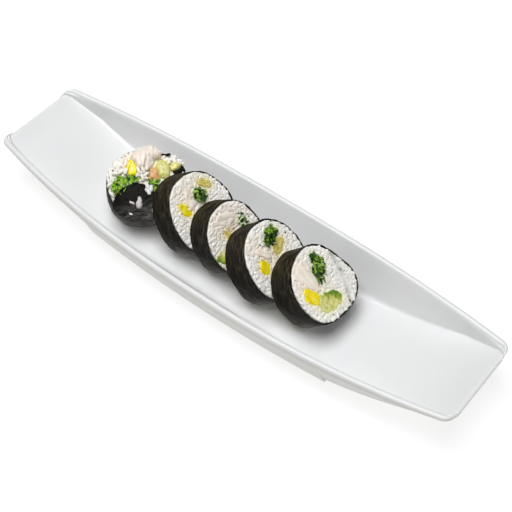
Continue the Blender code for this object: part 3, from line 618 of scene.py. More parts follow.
def steamed_rice(colours):
    """Short-grain rice, steamed and dressed with vinegar: milky grains, moist and half glassy.

    Each grain has a shade of its own, and the fillings colour the rice next to them; in and beside one
    slice's crease the rice is darkened, painted shade."""
    made, tree = start_material("steamed_rice")
    own = node(tree, "Attribute", attribute_name="shade").outputs["Fac"]
    stain = node(tree, "Attribute", attribute_name="stain").outputs["Vector"]
    place = node(tree, "TexCoord").outputs["Object"]
    clouds = node(tree, "TexNoise", {"Scale": per_mm(1.5), "Detail": 2.0}, {"Vector": place})
    grains = node(tree, "ValToRGB", links={"Fac": own},
                  stops=((0.0, np.array(colours.rice_cool) * 0.9), (0.25, colours.rice_cool),
                         (0.6, colours.rice), (1.0, colours.rice_warm)))
    colour = node(tree, "Mix", {MIX_B: (*colours.rice, 1.0)}, {MIX_FACTOR: clouds, MIX_A: grains},
                  data_type="RGBA")
    stained = node(tree, "Mix", {MIX_FACTOR: 1.0}, {MIX_A: colour.outputs[MIX_RESULT], MIX_B: stain},
                   data_type="RGBA", blend_type="MULTIPLY")
    bump = node(tree, "Bump", {"Strength": 0.35, "Distance": 0.15 * MM}, {"Height": clouds})
    gloss = node(tree, "MapRange", {"To Min": 0.4, "To Max": 0.6}, {"Value": clouds})
    moist = {"Specular IOR Level": 0.35, "Subsurface Weight": 0.1, "Subsurface Radius": (1.0, 0.92, 0.84),
             "Subsurface Scale": 0.5 * MM}
    shader = node(tree, "BsdfPrincipled", moist,
                  {"Base Color": stained.outputs[MIX_RESULT], "Roughness": gloss, "Normal": bump})
    node(tree, "OutputMaterial", links={"Surface": shader})
    return made


def chopped_herb(colours):
    """Blanched leaves and stems, chopped and squeezed: deeper leaves darker and higher ones lighter, painted
    shade, and pale stems.
    """
    made, tree = start_material("chopped_herb")
    own = node(tree, "Attribute", attribute_name="shade").outputs["Fac"]
    stalk = node(tree, "Attribute", attribute_name="stem").outputs["Fac"]
    place = node(tree, "TexCoord").outputs["Object"]
    veins = node(tree, "TexNoise", {"Scale": per_mm(1.1), "Detail": 3.0}, {"Vector": place})
    spread = node(tree, "Math", {1: 0.5}, {0: veins}, operation="MULTIPLY")
    total = node(tree, "Math", links={0: own, 1: spread}, operation="ADD")
    # the darkest stop, half the dark leaf colour, is painted shade for deep leaves and the core
    leaf = node(tree, "ValToRGB", links={"Fac": total},
                stops=((0.25, np.array(colours.leaf_dark) * 0.5), (0.6, colours.leaf_dark),
                       (1.0, colours.leaf_light)))
    colour = node(tree, "Mix", {MIX_B: (*colours.stem, 1.0)}, {MIX_FACTOR: stalk, MIX_A: leaf},
                  data_type="RGBA")
    bump = node(tree, "Bump", {"Strength": 0.5, "Distance": 0.2 * MM}, {"Height": veins})
    moist = {"Roughness": 0.4, "Specular IOR Level": 0.3, "Subsurface Weight": 0.08,
             "Subsurface Scale": 0.6 * MM}
    shader = node(tree, "BsdfPrincipled", moist, {"Base Color": colour.outputs[MIX_RESULT], "Normal": bump})
    node(tree, "OutputMaterial", links={"Surface": shader})
    return made


def soft_filling(name, pale, deep, spacing, stretch, roughness, glow, relief):
    """A soft, moist filling: two shades mixed by a noise of this spacing in millimetres, light let in."""
    made, tree = start_material(name)
    own = node(tree, "Attribute", attribute_name="inside").outputs["Vector"]
    scale = tuple(per_mm(spacing) * s for s in stretch)
    place = node(tree, "Mapping", {"Scale": scale}, {"Vector": own})
    grain = node(tree, "TexNoise", {"Scale": 1.0, "Detail": 3.0}, {"Vector": place})
    colour = node(tree, "ValToRGB", links={"Fac": grain}, stops=((0.38, pale), (0.68, deep)))
    gloss = node(tree, "MapRange", {"To Min": roughness * 0.8, "To Max": roughness * 1.3}, {"Value": grain})
    bump = node(tree, "Bump", {"Strength": 0.5, "Distance": relief * MM}, {"Height": grain})
    moist = {"Subsurface Weight": glow, "Subsurface Radius": (1.0, 0.7, 0.5), "Subsurface Scale": 1.5 * MM}
    shader = node(tree, "BsdfPrincipled", moist, {"Base Color": colour, "Roughness": gloss, "Normal": bump})
    node(tree, "OutputMaterial", links={"Surface": shader})
    return made


def cut_cucumber(colours):
    """A cucumber cut lengthways: wet pale flesh with seed pulp, greener towards a thin dark skin."""
    made, tree = start_material("cut_cucumber")
    own = node(tree, "Attribute", attribute_name="inside").outputs["Vector"]
    rim = node(tree, "Attribute", attribute_name="rim").outputs["Fac"]
    pulp = node(tree, "TexNoise", {"Scale": per_mm(1.8), "Detail": 3.0}, {"Vector": own})
    wobble = node(tree, "Math", {1: 1.5, 2: -0.6}, {0: pulp}, operation="MULTIPLY_ADD")
    depth = node(tree, "Math", links={0: rim, 1: wobble}, operation="ADD")
    colour = node(tree, "ValToRGB", links={"Fac": depth},
                  stops=((0.1, colours.cucumber), (0.6, colours.cucumber_green), (1.0, colours.skin)))
    bump = node(tree, "Bump", {"Strength": 0.4, "Distance": 0.2 * MM}, {"Height": pulp})
    wet = {"Roughness": 0.25, "Subsurface Weight": 0.3, "Subsurface Radius": (0.8, 1.0, 0.5),
           "Subsurface Scale": 2 * MM}
    shader = node(tree, "BsdfPrincipled", wet, {"Base Color": colour, "Normal": bump})
    node(tree, "OutputMaterial", links={"Surface": shader})
    return made


def lit_acrylic(colours, glow):
    """The studio table's matt opal acrylic, lit from below, so that shadows on it stay faint."""
    made, tree = start_material("lit_acrylic")
    place = node(tree, "TexCoord").outputs["Object"]
    tooth = node(tree, "TexNoise", {"Scale": per_mm(1.5), "Detail": 2.0}, {"Vector": place})
    bump = node(tree, "Bump", {"Strength": 0.05, "Distance": 0.05 * MM}, {"Height": tooth})
    matt = {"Base Color": (*colours.floor, 1.0), "Roughness": 0.9, "Specular IOR Level": 0.1,
            "Emission Color": (1.0, 1.0, 1.0, 1.0), "Emission Strength": glow}
    shader = node(tree, "BsdfPrincipled", matt, {"Normal": bump})
    node(tree, "OutputMaterial", links={"Surface": shader})
    return made


def filling_finish(kind, colours):
    """The material of one kind of filling.

    Fish flakes lie in layers, egg is rolled in sheets, and radish and carrot have long fibres."""
    if kind == "cucumber":
        return cut_cucumber(colours)
    if kind == "greens":
        return chopped_herb(colours)
    settings = {
        "fish": ("poached_fish", colours.fish, colours.fish_pink, 4.0, (0.5, 1.6, 0.5), 0.4, 0.12, 0.3),
        "pickle": ("pickled_radish", colours.pickle, colours.pickle_deep, 3.0, (0.6, 1.4, 0.4),
                   0.22, 0.3, 0.15),
        "omelette": ("rolled_egg", colours.omelette, colours.omelette_deep, 1.8, (0.7, 1.5, 0.7),
                     0.42, 0.2, 0.25),
        "carrot": ("stewed_carrot", colours.carrot, np.array(colours.carrot) * 0.8, 2.0, (0.6, 1.6, 0.4),
                   0.35, 0.3, 0.15),
        "avocado": ("ripe_avocado", colours.avocado, np.array(colours.avocado) * 0.85, 3.5, (1, 1, 1),
                    0.3, 0.3, 0.1),
    }
    return soft_filling(*settings[kind])


# Plate

def along(x):
    """Distance from the plate's middle as a share of its half length."""
    return np.minimum(np.abs(2 * x / PLATE_LENGTH), 1.0)


def rim_half_width(x):
    """Half the outer width at the rim: the end's width plus what is left of the middle's bulge."""
    spread = RIM_HALF_WIDTH_MIDDLE - RIM_HALF_WIDTH_END
    return RIM_HALF_WIDTH_END + spread * (1 - along(x) ** RIM_TAPER_POWER)


def rim_height(x):
    """Height of the rim, a parabola that rises to the corners."""
    return RIM_HEIGHT_MIDDLE + (RIM_HEIGHT_CORNER - RIM_HEIGHT_MIDDLE) * along(x) ** 2


def floor_height(x):
    """Height of the inner floor: level in the middle, then a parabola up to each end."""
    run = PLATE_LENGTH / 2 - FLOOR_LEVEL_HALF_LENGTH
    share = np.clip((np.abs(x) - FLOOR_LEVEL_HALF_LENGTH) / run, 0, 1)
    return FLOOR_HEIGHT + FLOOR_CURL * share ** 2


def crease_half_width(x):
    """Half the width of the floor, where the inner walls start."""
    return np.minimum(CREASE_HALF_WIDTH + CREASE_WIDENING * along(x) ** 2, rim_half_width(x) - CREASE_TO_RIM)


def inner_height(x, y):
    """Height of the plate's inner face: the floor, or the straight wall above its crease."""
    floor = floor_height(x)
    crease = crease_half_width(x)
    slope = (rim_height(x) - floor) / (rim_half_width(x) - RIM_THICKNESS - crease)
    return floor + slope * np.maximum(np.abs(y) - crease, 0)


def rounding(x, radius):
    """How far a quarter circle of this radius has drawn in at x, close to the plate's end."""
    into = np.clip(np.abs(x) - (PLATE_LENGTH / 2 - radius), 0, radius)
    return radius - np.sqrt(radius * radius - into * into)


def section_marks(x):
    """Marks across half the plate at each x, (stations, marks, 2), from the floor's middle over the
    rim and down to the underside's middle."""
    width, rim, floor = rim_half_width(x), rim_height(x), floor_height(x)
    crease = crease_half_width(x)
    inner = width - RIM_THICKNESS
    footed = np.abs(x) < FOOT_HALF_LENGTH
    past = np.maximum(np.abs(x) - FOOT_HALF_LENGTH, 0)
    narrowing = (FOOT_HALF_WIDTH_MIDDLE - FOOT_HALF_WIDTH_END) * (x / FOOT_HALF_LENGTH) ** 2
    base = np.where(footed, FOOT_HALF_WIDTH_MIDDLE - narrowing,
                    FOOT_HALF_WIDTH_END - 0.068 * past - 0.23 * past * past)
    under = np.where(footed, 0.0, floor - UNDERSIDE_THICKNESS)
    recess = np.where(np.abs(x) < RECESS_HALF_LENGTH, FOOT_RECESS, 0.0)
    rise, run = rim - floor, inner - crease
    pinch = rounding(x, END_LIP_RADIUS) * 0.75
    zero = np.zeros_like(x)
    top = [(zero, floor), (0.5 * crease, floor), (crease - CREASE_FILLET, floor),
           (crease, floor + 0.06 * rise), (crease + 0.2 * run, floor + 0.22 * rise),
           (crease + 0.6 * run, floor + 0.58 * rise), (inner, rim - 1.7 * MM),
           (width - 3.6 * MM, rim - 0.4 * MM), (width - 2.2 * MM, rim), (width - 0.8 * MM, rim - 0.5 * MM)]
    side = [(width, rim - 2 * MM), (0.5 * (width + base) + 0.8 * MM, 0.5 * (rim + under))]
    bottom = [(base, under + 0.5 * MM), (base - 0.5 * MM, under), (base - FOOT_RING_WIDTH, under),
              (base - FOOT_RING_WIDTH - FOOT_RING_BEVEL, under + recess), (zero, under + recess)]
    marks = [(y, z - pinch) for y, z in top] + side + [(y, z + pinch * 0.6) for y, z in bottom]
    drawn_in = 1 - rounding(x, CORNER_RADIUS) / width
    return np.stack([np.stack([y * drawn_in, z], axis=-1) for y, z in marks], axis=1)


def smooth_path(marks, samples):
    """A smooth path through marks: cubic Hermite by length, slopes the harmonic mean of the
    neighbouring ones and level where those differ in sign, so that it never overshoots."""
    step = np.diff(marks, axis=1)
    length = np.maximum(np.linalg.norm(step, axis=2, keepdims=True), 1e-9)
    slope = step / length
    before, after = slope[:, :-1], slope[:, 1:]
    product = before * after
    mean = np.where(product > 0, 2 * product / np.where(product > 0, before + after, 1), 0.0)
    tangent = np.concatenate([slope[:, :1], mean, slope[:, -1:]], axis=1)
    path = []
    for k, count in enumerate(samples):
        t = np.arange(count)[None, :, None] / count
        start, end = marks[:, k:k + 1], marks[:, k + 1:k + 2]
        leave = tangent[:, k:k + 1] * length[:, k:k + 1]
        arrive = tangent[:, k + 1:k + 2] * length[:, k:k + 1]
        path.append(start * (2 * t ** 3 - 3 * t ** 2 + 1) + leave * (t ** 3 - 2 * t ** 2 + t)
                    + end * (3 * t ** 2 - 2 * t ** 3) + arrive * (t ** 3 - t ** 2))
    path.append(marks[:, -1:])
    return np.concatenate(path, axis=1)


def plate_stations():
    """Places along the plate where it is cut, closer together at the foot's ends and the lips."""
    end = PLATE_LENGTH / 2
    plain = np.arange(0, end - CORNER_RADIUS, STATION_STEP)
    near = [RECESS_HALF_LENGTH - 0.2 * MM, RECESS_HALF_LENGTH + 1.3 * MM,
            FOOT_HALF_LENGTH - 0.2 * MM, FOOT_HALF_LENGTH + 0.2 * MM]
    plain = plain[np.abs(plain[:, None] - near).min(axis=1) > 0.4 * MM]
    lip = end - CORNER_RADIUS * (1 - np.sin(np.linspace(0, math.pi / 2, LIP_STATIONS)))
    half = np.sort(np.concatenate([plain, near, lip]))
    return np.concatenate([-half[:0:-1], half])


def make_plate(context):
    """The plate: smooth sections lofted from end to end, each end closed by quads from the top of
    its section to the underside."""
    x = plate_stations()
    right = smooth_path(section_marks(x), TOP_SAMPLES + BOTTOM_SAMPLES)
    left = right[:, -2:0:-1] * [-1, 1]
    ring = np.concatenate([right, left], axis=1)
    stations, around = ring.shape[:2]
    points = np.concatenate([np.broadcast_to(x[:, None, None], (stations, around, 1)), ring], axis=2)
    half = right.shape[1]
    i = np.arange(half // 2 - 1)
    caps = np.stack([i, i + 1, half - 2 - i, half - 1 - i], axis=1)
    caps = np.concatenate([caps, (around - caps[:, ::-1]) % around])
    last = (stations - 1) * around
    body = grid_quads(stations, around, closed_columns=True)
    quads = np.concatenate([body, caps[:, ::-1], caps + last])[:, ::-1]
    beyond_rim = np.clip((np.arange(half) - CROWN) / (SHOULDER - CROWN), 0, 1)
    outer = np.tile(np.concatenate([beyond_rim, beyond_rim[-2:0:-1]]), stations)
    part = points.reshape(-1, 3), quads, NO_TRIANGLES, {"outside": outer}
    new_piece("boat_plate", part, glazed_porcelain(context.scene.maki_colours), ["plate"])



# Slices

def outline_radius(piece, angle):
    """Radius of the nori's outer face: a mean radius with two to five lobes."""
    share = 1.0
    for amount, count, direction in piece.lobes:
        share = share + amount * np.cos(count * (angle - math.radians(direction)))
    return piece.radius * share


def slice_frame(piece):
    """The slice's axes: across its face, up its face and out of its face."""
    lean, turn = math.radians(piece.lean), math.radians(piece.turn)
    out = np.array([math.cos(lean) * math.cos(turn), math.cos(lean) * math.sin(turn), math.sin(lean)])
    across = np.array([-math.sin(turn), math.cos(turn), 0.0])
    return across, np.cross(out, across), out


def resting_middle(piece):
    """The front face's middle, at the height where both of the slice's rims clear the plate."""
    across, up, out = slice_frame(piece)
    angle = turns(120)
    ring = polar(outline_radius(piece, angle) + NORI_WRINKLE, angle) @ np.array([across, up])
    points = np.concatenate([ring - out * piece.thickness, ring]) + [piece.x, piece.y, 0.0]
    height = points[:, 2] - inner_height(points[:, 0], points[:, 1])
    return np.array([piece.x, piece.y, GAP - height.min()])


def to_world(piece, points):
    """Points of a slice, modelled from its back face up, at their place on the plate."""
    across, up, out = slice_frame(piece)
    back = resting_middle(piece) - out * piece.thickness
    return points @ np.array([across, up, out]) + back


def placed(piece, part):
    """A part of a slice at its place on the plate."""
    points, *rest = part
    return to_world(piece, points), *rest


def wrinkle(angle, seed):
    """A smooth uneven wave round a slice, between -1 and 1: four cosines with seeded phases."""
    rng = np.random.default_rng(seed)
    total = np.zeros_like(angle)
    for count in (3, 5, 7, 11):
        total += np.cos(count * angle + rng.uniform(0, 2 * math.pi)) / 4
    return total


def rice_radius(piece, angle):
    """Radius of the rice inside the nori."""
    return outline_radius(piece, angle) + NORI_WRINKLE * wrinkle(angle, piece.number) - NORI_THICKNESS - GAP


def rice_level(piece, x, y):
    """Height of the rice's front above the slice's back face, mound included."""
    shares, rises = zip(*MOUND_SLOPE)
    share = np.hypot(x, y) / rice_radius(piece, np.arctan2(y, x))
    return piece.thickness - RICE_SUNK + piece.mound * np.interp(share, shares, rises)


def face_level(piece, x, y):
    """The rice's front with its small heaps, bell curves over the torn slice's mound, and its crease,
    a narrow bell-shaped groove."""
    level = rice_level(piece, x, y)
    if piece.number == TORN:
        for across, up, height, reach in np.array(HEAPS) * MM:
            level = level + height * np.exp(-((x - across) ** 2 + (y - up) ** 2) / reach ** 2)
    if piece.number == CREASED:
        away = from_line(np.stack([x, y], axis=-1), np.array(CREASE) * MM)
        level = level - CREASE_DEPTH * np.exp(-(away / CREASE_WIDTH) ** 2)
    return level


def bells(angle, marks, power):
    """Bell curves round a rim, one row for each mark's direction, width and amount."""
    rows = []
    for direction, width, amount in marks:
        away = (np.degrees(angle) - direction + 180) % 360 - 180
        rows.append(amount * MM * np.exp(-(away / width) ** power))
    return np.array(rows)


def overhang(piece, angle):
    """How far the torn slice's rice leans out over its rim: the sum of its bell curves."""
    return bells(angle, OVERHANGS, 2).sum(axis=0) if piece.number == TORN else np.zeros_like(angle)


def tear_depth(piece, angle):
    """How much lower the torn slice's band is: the highest of its bell curves."""
    return bells(angle, TEARS, 4).max(axis=0) if piece.number == TORN else np.zeros_like(angle)


def blob_radius(item, angle):
    """A filling's outline seen from its middle: a squarish oval, power 2.4, times its lobes, or the
    outline that was drawn for it."""
    if item.outline is not None:
        return np.interp(angle, OUTLINE_TURNS, item.outline, period=2 * math.pi)
    reach = (np.abs(np.cos(angle) / (item.length / 2)) ** OVAL_POWER
             + np.abs(np.sin(angle) / (item.width / 2)) ** OVAL_POWER)
    return reach ** (-1 / OVAL_POWER) * (1 + item.depth * np.cos(item.lobes * angle + item.turn))


def outline_places(item, angle, share):
    """Places on the face at these shares of the way from a filling's middle to its outline."""
    return polar(share * blob_radius(item, angle), angle + math.radians(item.turn)) + [item.across, item.up]


def outside(item, x, y):
    """How far points of the face lie outside a filling's outline, less than 0 inside it."""
    x, y = x - item.across, y - item.up
    return np.hypot(x, y) - blob_radius(item, np.arctan2(y, x) - math.radians(item.turn))


def own_axes(item, points, turn):
    """Places along a filling's length and across its width, turned by this many degrees."""
    cosine, sine = math.cos(math.radians(turn)), math.sin(math.radians(turn))
    x, y = points[..., 0] - item.across, points[..., 1] - item.up
    return x * cosine + y * sine, y * cosine - x * sine


def kind_of(item):
    """A filling's kind, without the place in its name."""
    return item.kind.split("_")[0]


# Nori

def band_points(piece):
    """The band of nori: for each angle a closed strip up the outside and down the inside.

    The outside's radius is the outline plus the sheet's wrinkles, soft bumps where grains press
    through and fine ridges that run round the roll; the cut edges are drawn in and uneven."""
    angle = turns(BAND_ROUND)
    level = np.concatenate([np.linspace(0, 1, BAND_OUTSIDE), np.linspace(1, 0, BAND_INSIDE)])
    inside = np.concatenate([np.zeros(BAND_OUTSIDE), np.ones(BAND_INSIDE)])
    mean = outline_radius(piece, angle) + NORI_WRINKLE * wrinkle(angle, piece.number)
    ring = raised(polar(mean, angle), 0.0)
    tear = NORI_EDGE_WAVE + piece.ragged
    bite = 0.28 * MM + 0.5 * piece.ragged
    front = piece.thickness - 0.35 * MM + tear * wrinkle(angle, piece.number + 10)
    front = front + bite * noise(ring, 2.2 * MM, piece.number) - tear_depth(piece, angle)
    back = NORI_EDGE_WAVE * 0.5 * (1 + wrinkle(angle, piece.number + 20))
    back = back + 0.2 * MM * noise(ring, 2.5 * MM, 3)
    z = back[:, None] + (front - back)[:, None] * level
    flat = raised(np.broadcast_to(ring[:, None, :2], (*z.shape, 2)), z)
    bumps = sum(depth * MM * noise(flat, spacing * MM, seed + piece.number)
                for depth, spacing, seed in BAND_BUMPS)
    depth, spacing, seed = BAND_RIDGES
    ridges = depth * MM * noise(flat * [0.1, 0.1, 1.0], spacing * MM, seed + piece.number)
    edge = np.abs(2 * level - 1) ** BAND_EDGE_POWER
    radius = mean[:, None] + np.maximum(bumps, -BAND_SINKS) + ridges * (1 - edge)
    radius = radius - NORI_THICKNESS * (inside + edge * np.where(inside, -0.3, 0.25))
    return raised(flat[..., :2] * (radius / mean[:, None])[..., None], z), flat


def flap_outline(piece):
    """The folded nori's outline on the face, which runs out over the band's edge."""
    flat = outline_places(FLAP, turns(FLAP_ROUND), 1.0)
    reach = outline_radius(piece, np.arctan2(flat[:, 1], flat[:, 0])) + FLAP_REACH
    return flat * np.minimum(1, reach / np.hypot(*flat.T))[:, None]


def flap_points(piece):
    """The folded end of the sheet: rings from its middle out along the underside and back along
    the top, at the rice's height plus crumples. Over the rim it turns down in a quarter circle."""
    flat = flap_outline(piece)
    middle = flat.mean(axis=0)
    shares = np.linspace(0.04, 1, FLAP_RINGS) ** 0.8
    (deep, wide), (shallow, narrow) = FLAP_CRUMPLES
    rings = []
    for side, thickness in ((1, 0.0), (-1, NORI_THICKNESS)):
        for share in shares[::side]:
            spot = middle + (flat - middle) * share
            distance = np.hypot(*spot.T)
            rim = outline_radius(piece, np.arctan2(spot[:, 1], spot[:, 0]))
            bend = np.clip((distance - rim + FLAP_BEND) / (FLAP_BEND + FLAP_REACH), 0, 1)
            spot = spot * (1 + thickness * bend / distance)[:, None]
            level = raised(spot, 0.0)
            crumple = deep * MM * noise(level * [1.0, 0.6, 1], wide * MM, 71)
            crumple = crumple + shallow * MM * noise(level, narrow * MM, 72)
            lift = FLAP_LOOSE + 0.9 * MM + (crumple + 0.8 * MM * share ** 10 + thickness) * (1 - bend)
            drop = FLAP_DROP * (1 - np.sqrt(1 - bend * bend))
            rings.append(raised(spot, rice_level(piece, *spot.T) + lift - drop))
    return np.array(rings)


def make_nori(context):
    """The five bands and the torn end's flap."""
    colours = context.scene.maki_colours
    dry = toasted_nori(colours)
    soaked = toasted_nori(colours, wet=True)
    for piece in SLICES:
        points, sheet = band_points(piece)
        quads = grid_quads(*points.shape[:2], closed_rows=True, closed_columns=True)[:, ::-1]
        band = points.reshape(-1, 3), quads, NO_TRIANGLES, {"sheet": sheet.reshape(-1, 3)}
        new_piece(f"nori_band_{piece.number}", placed(piece, band), dry,
                  [f"slice_{piece.number}_nori"])
    torn = SLICES[TORN - 1]
    points, quads, triangles = tubes(flap_points(torn)[None])
    flap = points, quads, triangles, {"sheet": points}
    new_piece("nori_flap", placed(torn, flap), soaked, ["slice_1_flap"])


# Rice

def core_rings(piece):
    """The mashed rice between the grains: the rounded disc or mound, its faces sunk under the
    grains and rough."""
    angle = turns(CORE_ROUND)
    inward = np.array([0.08, 0.22, 0.36, 0.5, 0.62, 0.74, 0.84, 0.92, 0.97])
    shares = np.concatenate([inward, np.full(6, 0.995), inward[::-1]])
    front = np.concatenate([np.zeros(len(inward)), [0.04, 0.2, 0.4, 0.6, 0.8, 0.96], np.ones(len(inward))])
    radius = rice_radius(piece, angle)
    low = RICE_SUNK + CORE_SUNK
    rings = []
    for share, side in zip(shares, front):
        spots = polar((radius + 0.9 * overhang(piece, angle) * side ** 3) * share, angle)
        high = face_level(piece, *spots.T) - CORE_SUNK
        rings.append(raised(spots, low + (high - low) * side))
    rings = np.array(rings)
    depth, spacing = CORE_ROUGHNESS
    rough = depth * MM * noise(rings, spacing * MM, 80 + piece.number)
    rings[..., 2] += rough * np.sign(front - 0.5)[:, None] * (shares < 0.99)[:, None]
    return rings


def grain_rings(count, rng, sizes):
    """Grains of rice along X: ellipsoids of power 2.3, bent a little, each of its own size."""
    s = np.cos(np.linspace(math.pi, 0, GRAIN_RINGS + 2)[1:-1])
    s = np.sign(s) * np.abs(s) ** 0.9
    girth = (1 - np.abs(s) ** GRAIN_POWER) ** (1 / GRAIN_POWER)
    turn = turns(GRAIN_ROUND)
    unit = np.stack([np.broadcast_to(s[:, None], (GRAIN_RINGS, GRAIN_ROUND)),
                     girth[:, None] * np.cos(turn), girth[:, None] * np.sin(turn)], axis=-1)
    scale = 0.5 * np.column_stack([sizes.grain_length * rng.uniform(0.8, 1.12, count),
                                   sizes.grain_width * rng.uniform(0.88, 1.12, count),
                                   0.9 * sizes.grain_width * rng.uniform(0.88, 1.1, count)])
    points = unit[None] * scale[:, None, None]
    points[..., 1] += GRAIN_BEND * sizes.grain_width * (unit[None, ..., 0] ** 2 - 0.4)
    return points


def rotations(yaw, pitch, roll):
    """Rotation matrices that turn about X by roll, then about Y by pitch, then about Z by yaw."""
    cy, cp, cr = np.cos([yaw, pitch, roll])
    sy, sp, sr = np.sin([yaw, pitch, roll])
    rows = [[cy * cp, cy * sp * sr - sy * cr, cy * sp * cr + sy * sr],
            [sy * cp, sy * sp * sr + cy * cr, sy * sp * cr - cy * sr],
            [-sp, cp * sr, cp * cr]]
    return np.moveaxis(np.array(rows), -1, 0)


def turn_each(turned, shapes):
    """The rings of each shape, turned by its own rotation matrix."""
    return np.einsum("nij,nrcj->nrci", turned, shapes)


def lattice(radius, spacing, rng):
    """Places on a face: a triangular lattice of this spacing, each place shifted at random."""
    steps = np.arange(-radius, radius, spacing)
    x, y = np.meshgrid(steps, steps * math.sin(math.pi / 3) * 1.15)
    x = x + spacing * 0.5 * (np.arange(len(steps)) % 2)[:, None]
    spots = np.column_stack([x.ravel(), y.ravel()])
    return spots + rng.uniform(-GRAIN_SCATTER, GRAIN_SCATTER, spots.shape) * spacing


def room_to_others(piece, points):
    """How far world points are from the other slices: the largest overhang past an end or the side."""
    nearest = np.full(len(points), 1.0)
    for other in SLICES:
        if other.number != piece.number:
            across, up, out = slice_frame(other)
            away = points - resting_middle(other)
            level = away @ out
            a, b = away @ across, away @ up
            side = np.hypot(a, b) - outline_radius(other, np.arctan2(b, a))
            past = np.maximum(np.maximum(level - other.mound, -other.thickness - level), side)
            nearest = np.minimum(nearest, past)
    return nearest


def from_line(points, line):
    """Distance of points from a line of straight runs."""
    nearest = np.ones(points.shape[:-1])
    for start, end in zip(line[:-1], line[1:]):
        run = end - start
        t = np.clip((points - start) @ run / (run @ run), 0, 1)
        nearest = np.minimum(nearest, np.linalg.norm(points - start - t[..., None] * run, axis=-1))
    return nearest


def grain_spots(piece, front, spacing, rng):
    """Places for grains on one face, clear of the fillings, the flap, the crease and the neighbours."""
    spots = lattice(piece.radius * 1.1, spacing, rng)
    x, y = spots.T
    angle = np.arctan2(y, x)
    keep = np.hypot(x, y) < rice_radius(piece, angle) - FACE_MARGIN + front * overhang(piece, angle)
    for item in FILLINGS:
        if item.slice == piece.number:
            kind = "sparse" if (item.slice, item.kind) == SPARSE else kind_of(item)
            clear = CLEARANCE.get(kind, 0.9) * MM + (TORN_CLEARANCE if piece.number == TORN else 0.0)
            keep &= outside(item, x, y) > clear
    if front and piece.number == TORN:
        keep &= outside(FLAP, x, y) > 0.3 * MM
        for flake in (*FLAKES, *BUNCHES.values()):
            keep &= outside(flake, x, y) > (0.1 if flake.kind == "fish" else 0.8) * MM
    spots = spots[keep]
    level = face_level(piece, *spots.T) if front else RICE_SUNK
    return spots[room_to_others(piece, to_world(piece, raised(spots, level))) > NEIGHBOUR_CLEARANCE]


def face_grains(piece, front, sizes, seed):
    """Grains on one face. On a cut face their tops are sliced down to a wavy plane; on the torn
    face they lie loose, in two layers."""
    rng = np.random.default_rng(seed)
    loose = front and piece.number == TORN
    side = 1 if front else -1
    layers = LOOSE_LAYERS if loose else LOOSE_LAYERS[:1]
    found = [grain_spots(piece, front, sizes.grain_spacing * wider, rng) for lift, wider in layers]
    lift = np.repeat([lift for lift, wider in layers], [len(spots) for spots in found])
    spots = np.concatenate(found)
    count = len(spots)
    pitch = np.clip(rng.normal(0, LOOSE_TILT if loose else GRAIN_TILT, count), -1.2, 1.2)
    turned = rotations(rng.uniform(0, math.pi, count), pitch, rng.uniform(0, math.pi, count))
    grains = turn_each(turned, grain_rings(count, rng, sizes)) * [1, 1, side]
    height = lift + rng.normal(*GRAIN_SINKS, count) * sizes.grain_width
    grains = grains + raised(spots, side * height)[:, None, None]
    if not loose:
        depth, spacing = CUT_WAVE
        plane = depth * MM * noise(grains * [1, 1, 0], spacing * MM, seed)
        grains[..., 2] -= side * CUT_SHARE * np.maximum(side * grains[..., 2] - plane, 0)
    x, y = grains[..., 0], grains[..., 1]
    angle = np.arctan2(y, x)
    above = np.clip(grains[..., 2] / (0.2 * MM) + 0.7, 0, 1) if front else 0.0
    wander = above * (0.45 * MM + 0.35 * MM * noise(grains, 4 * MM, seed + 1)) - 0.15 * MM
    reach = rice_radius(piece, angle) + wander + (0.8 * MM + overhang(piece, angle)) * loose
    grains[..., :2] *= np.minimum(1, reach / np.maximum(np.hypot(x, y), 1e-6))[..., None]
    if loose:
        grains[..., 2] += face_level(piece, *spots.T)[:, None, None]
    elif front:
        grains[..., 2] += face_level(piece, grains[..., 0], grains[..., 1])
    else:
        grains = (grains + [0, 0, RICE_SUNK])[:, ::-1]
    return grains, rng.uniform(0.3, 1.0, count)


def stains(piece, points):
    """How far the fillings colour the rice next to them: each one's tint fades by an exponential of the
    distance from its outline. In and beside the crease the rice is darkened by bell curves, painted shade."""
    tint = np.ones((len(points), 3))
    for item in FILLINGS:
        if item.slice == piece.number:
            reach, colour = STAINS[kind_of(item)]
            away = np.maximum(outside(item, points[:, 0], points[:, 1]), 0)
            tint *= 1 - (1 - np.array(colour)) * np.exp(-away / (reach * MM))[:, None]
    # painted shade: a dark grey in the crease and a faint grey on the rice beside it
    if piece.number == CREASED:
        away = from_line(points[:, :2], np.array(CREASE) * MM)
        for colour, reach in CREASE_STAINS:
            tint *= 1 - (1 - np.array(colour)) * np.exp(-(away / reach) ** 2)[:, None]
    return tint


def make_rice(context):
    """Each slice's rice: a rough core under real grains."""
    scene = context.scene
    finish = steamed_rice(scene.maki_colours)
    for piece in SLICES:
        points, quads, triangles = tubes(core_rings(piece)[None])
        values = {"shade": np.full(len(points), 0.7), "stain": stains(piece, points)}
        parts = [(points, quads, triangles, values)]
        for front, seed in ((True, piece.number), (False, piece.number + 50)):
            grains, shades = face_grains(piece, front, scene.maki_sizes, seed)
            points, quads, triangles = tubes(grains)
            values = {"shade": np.repeat(shades, len(points) // len(shades)), "stain": stains(piece, points)}
            parts.append((points, quads, triangles, values))
        if piece.number == TORN:
            parts.append(stray_grains(piece, scene.maki_sizes))
        new_piece(f"rice_{piece.number}", placed(piece, join(parts)), finish,
                  [f"slice_{piece.number}_rice"])


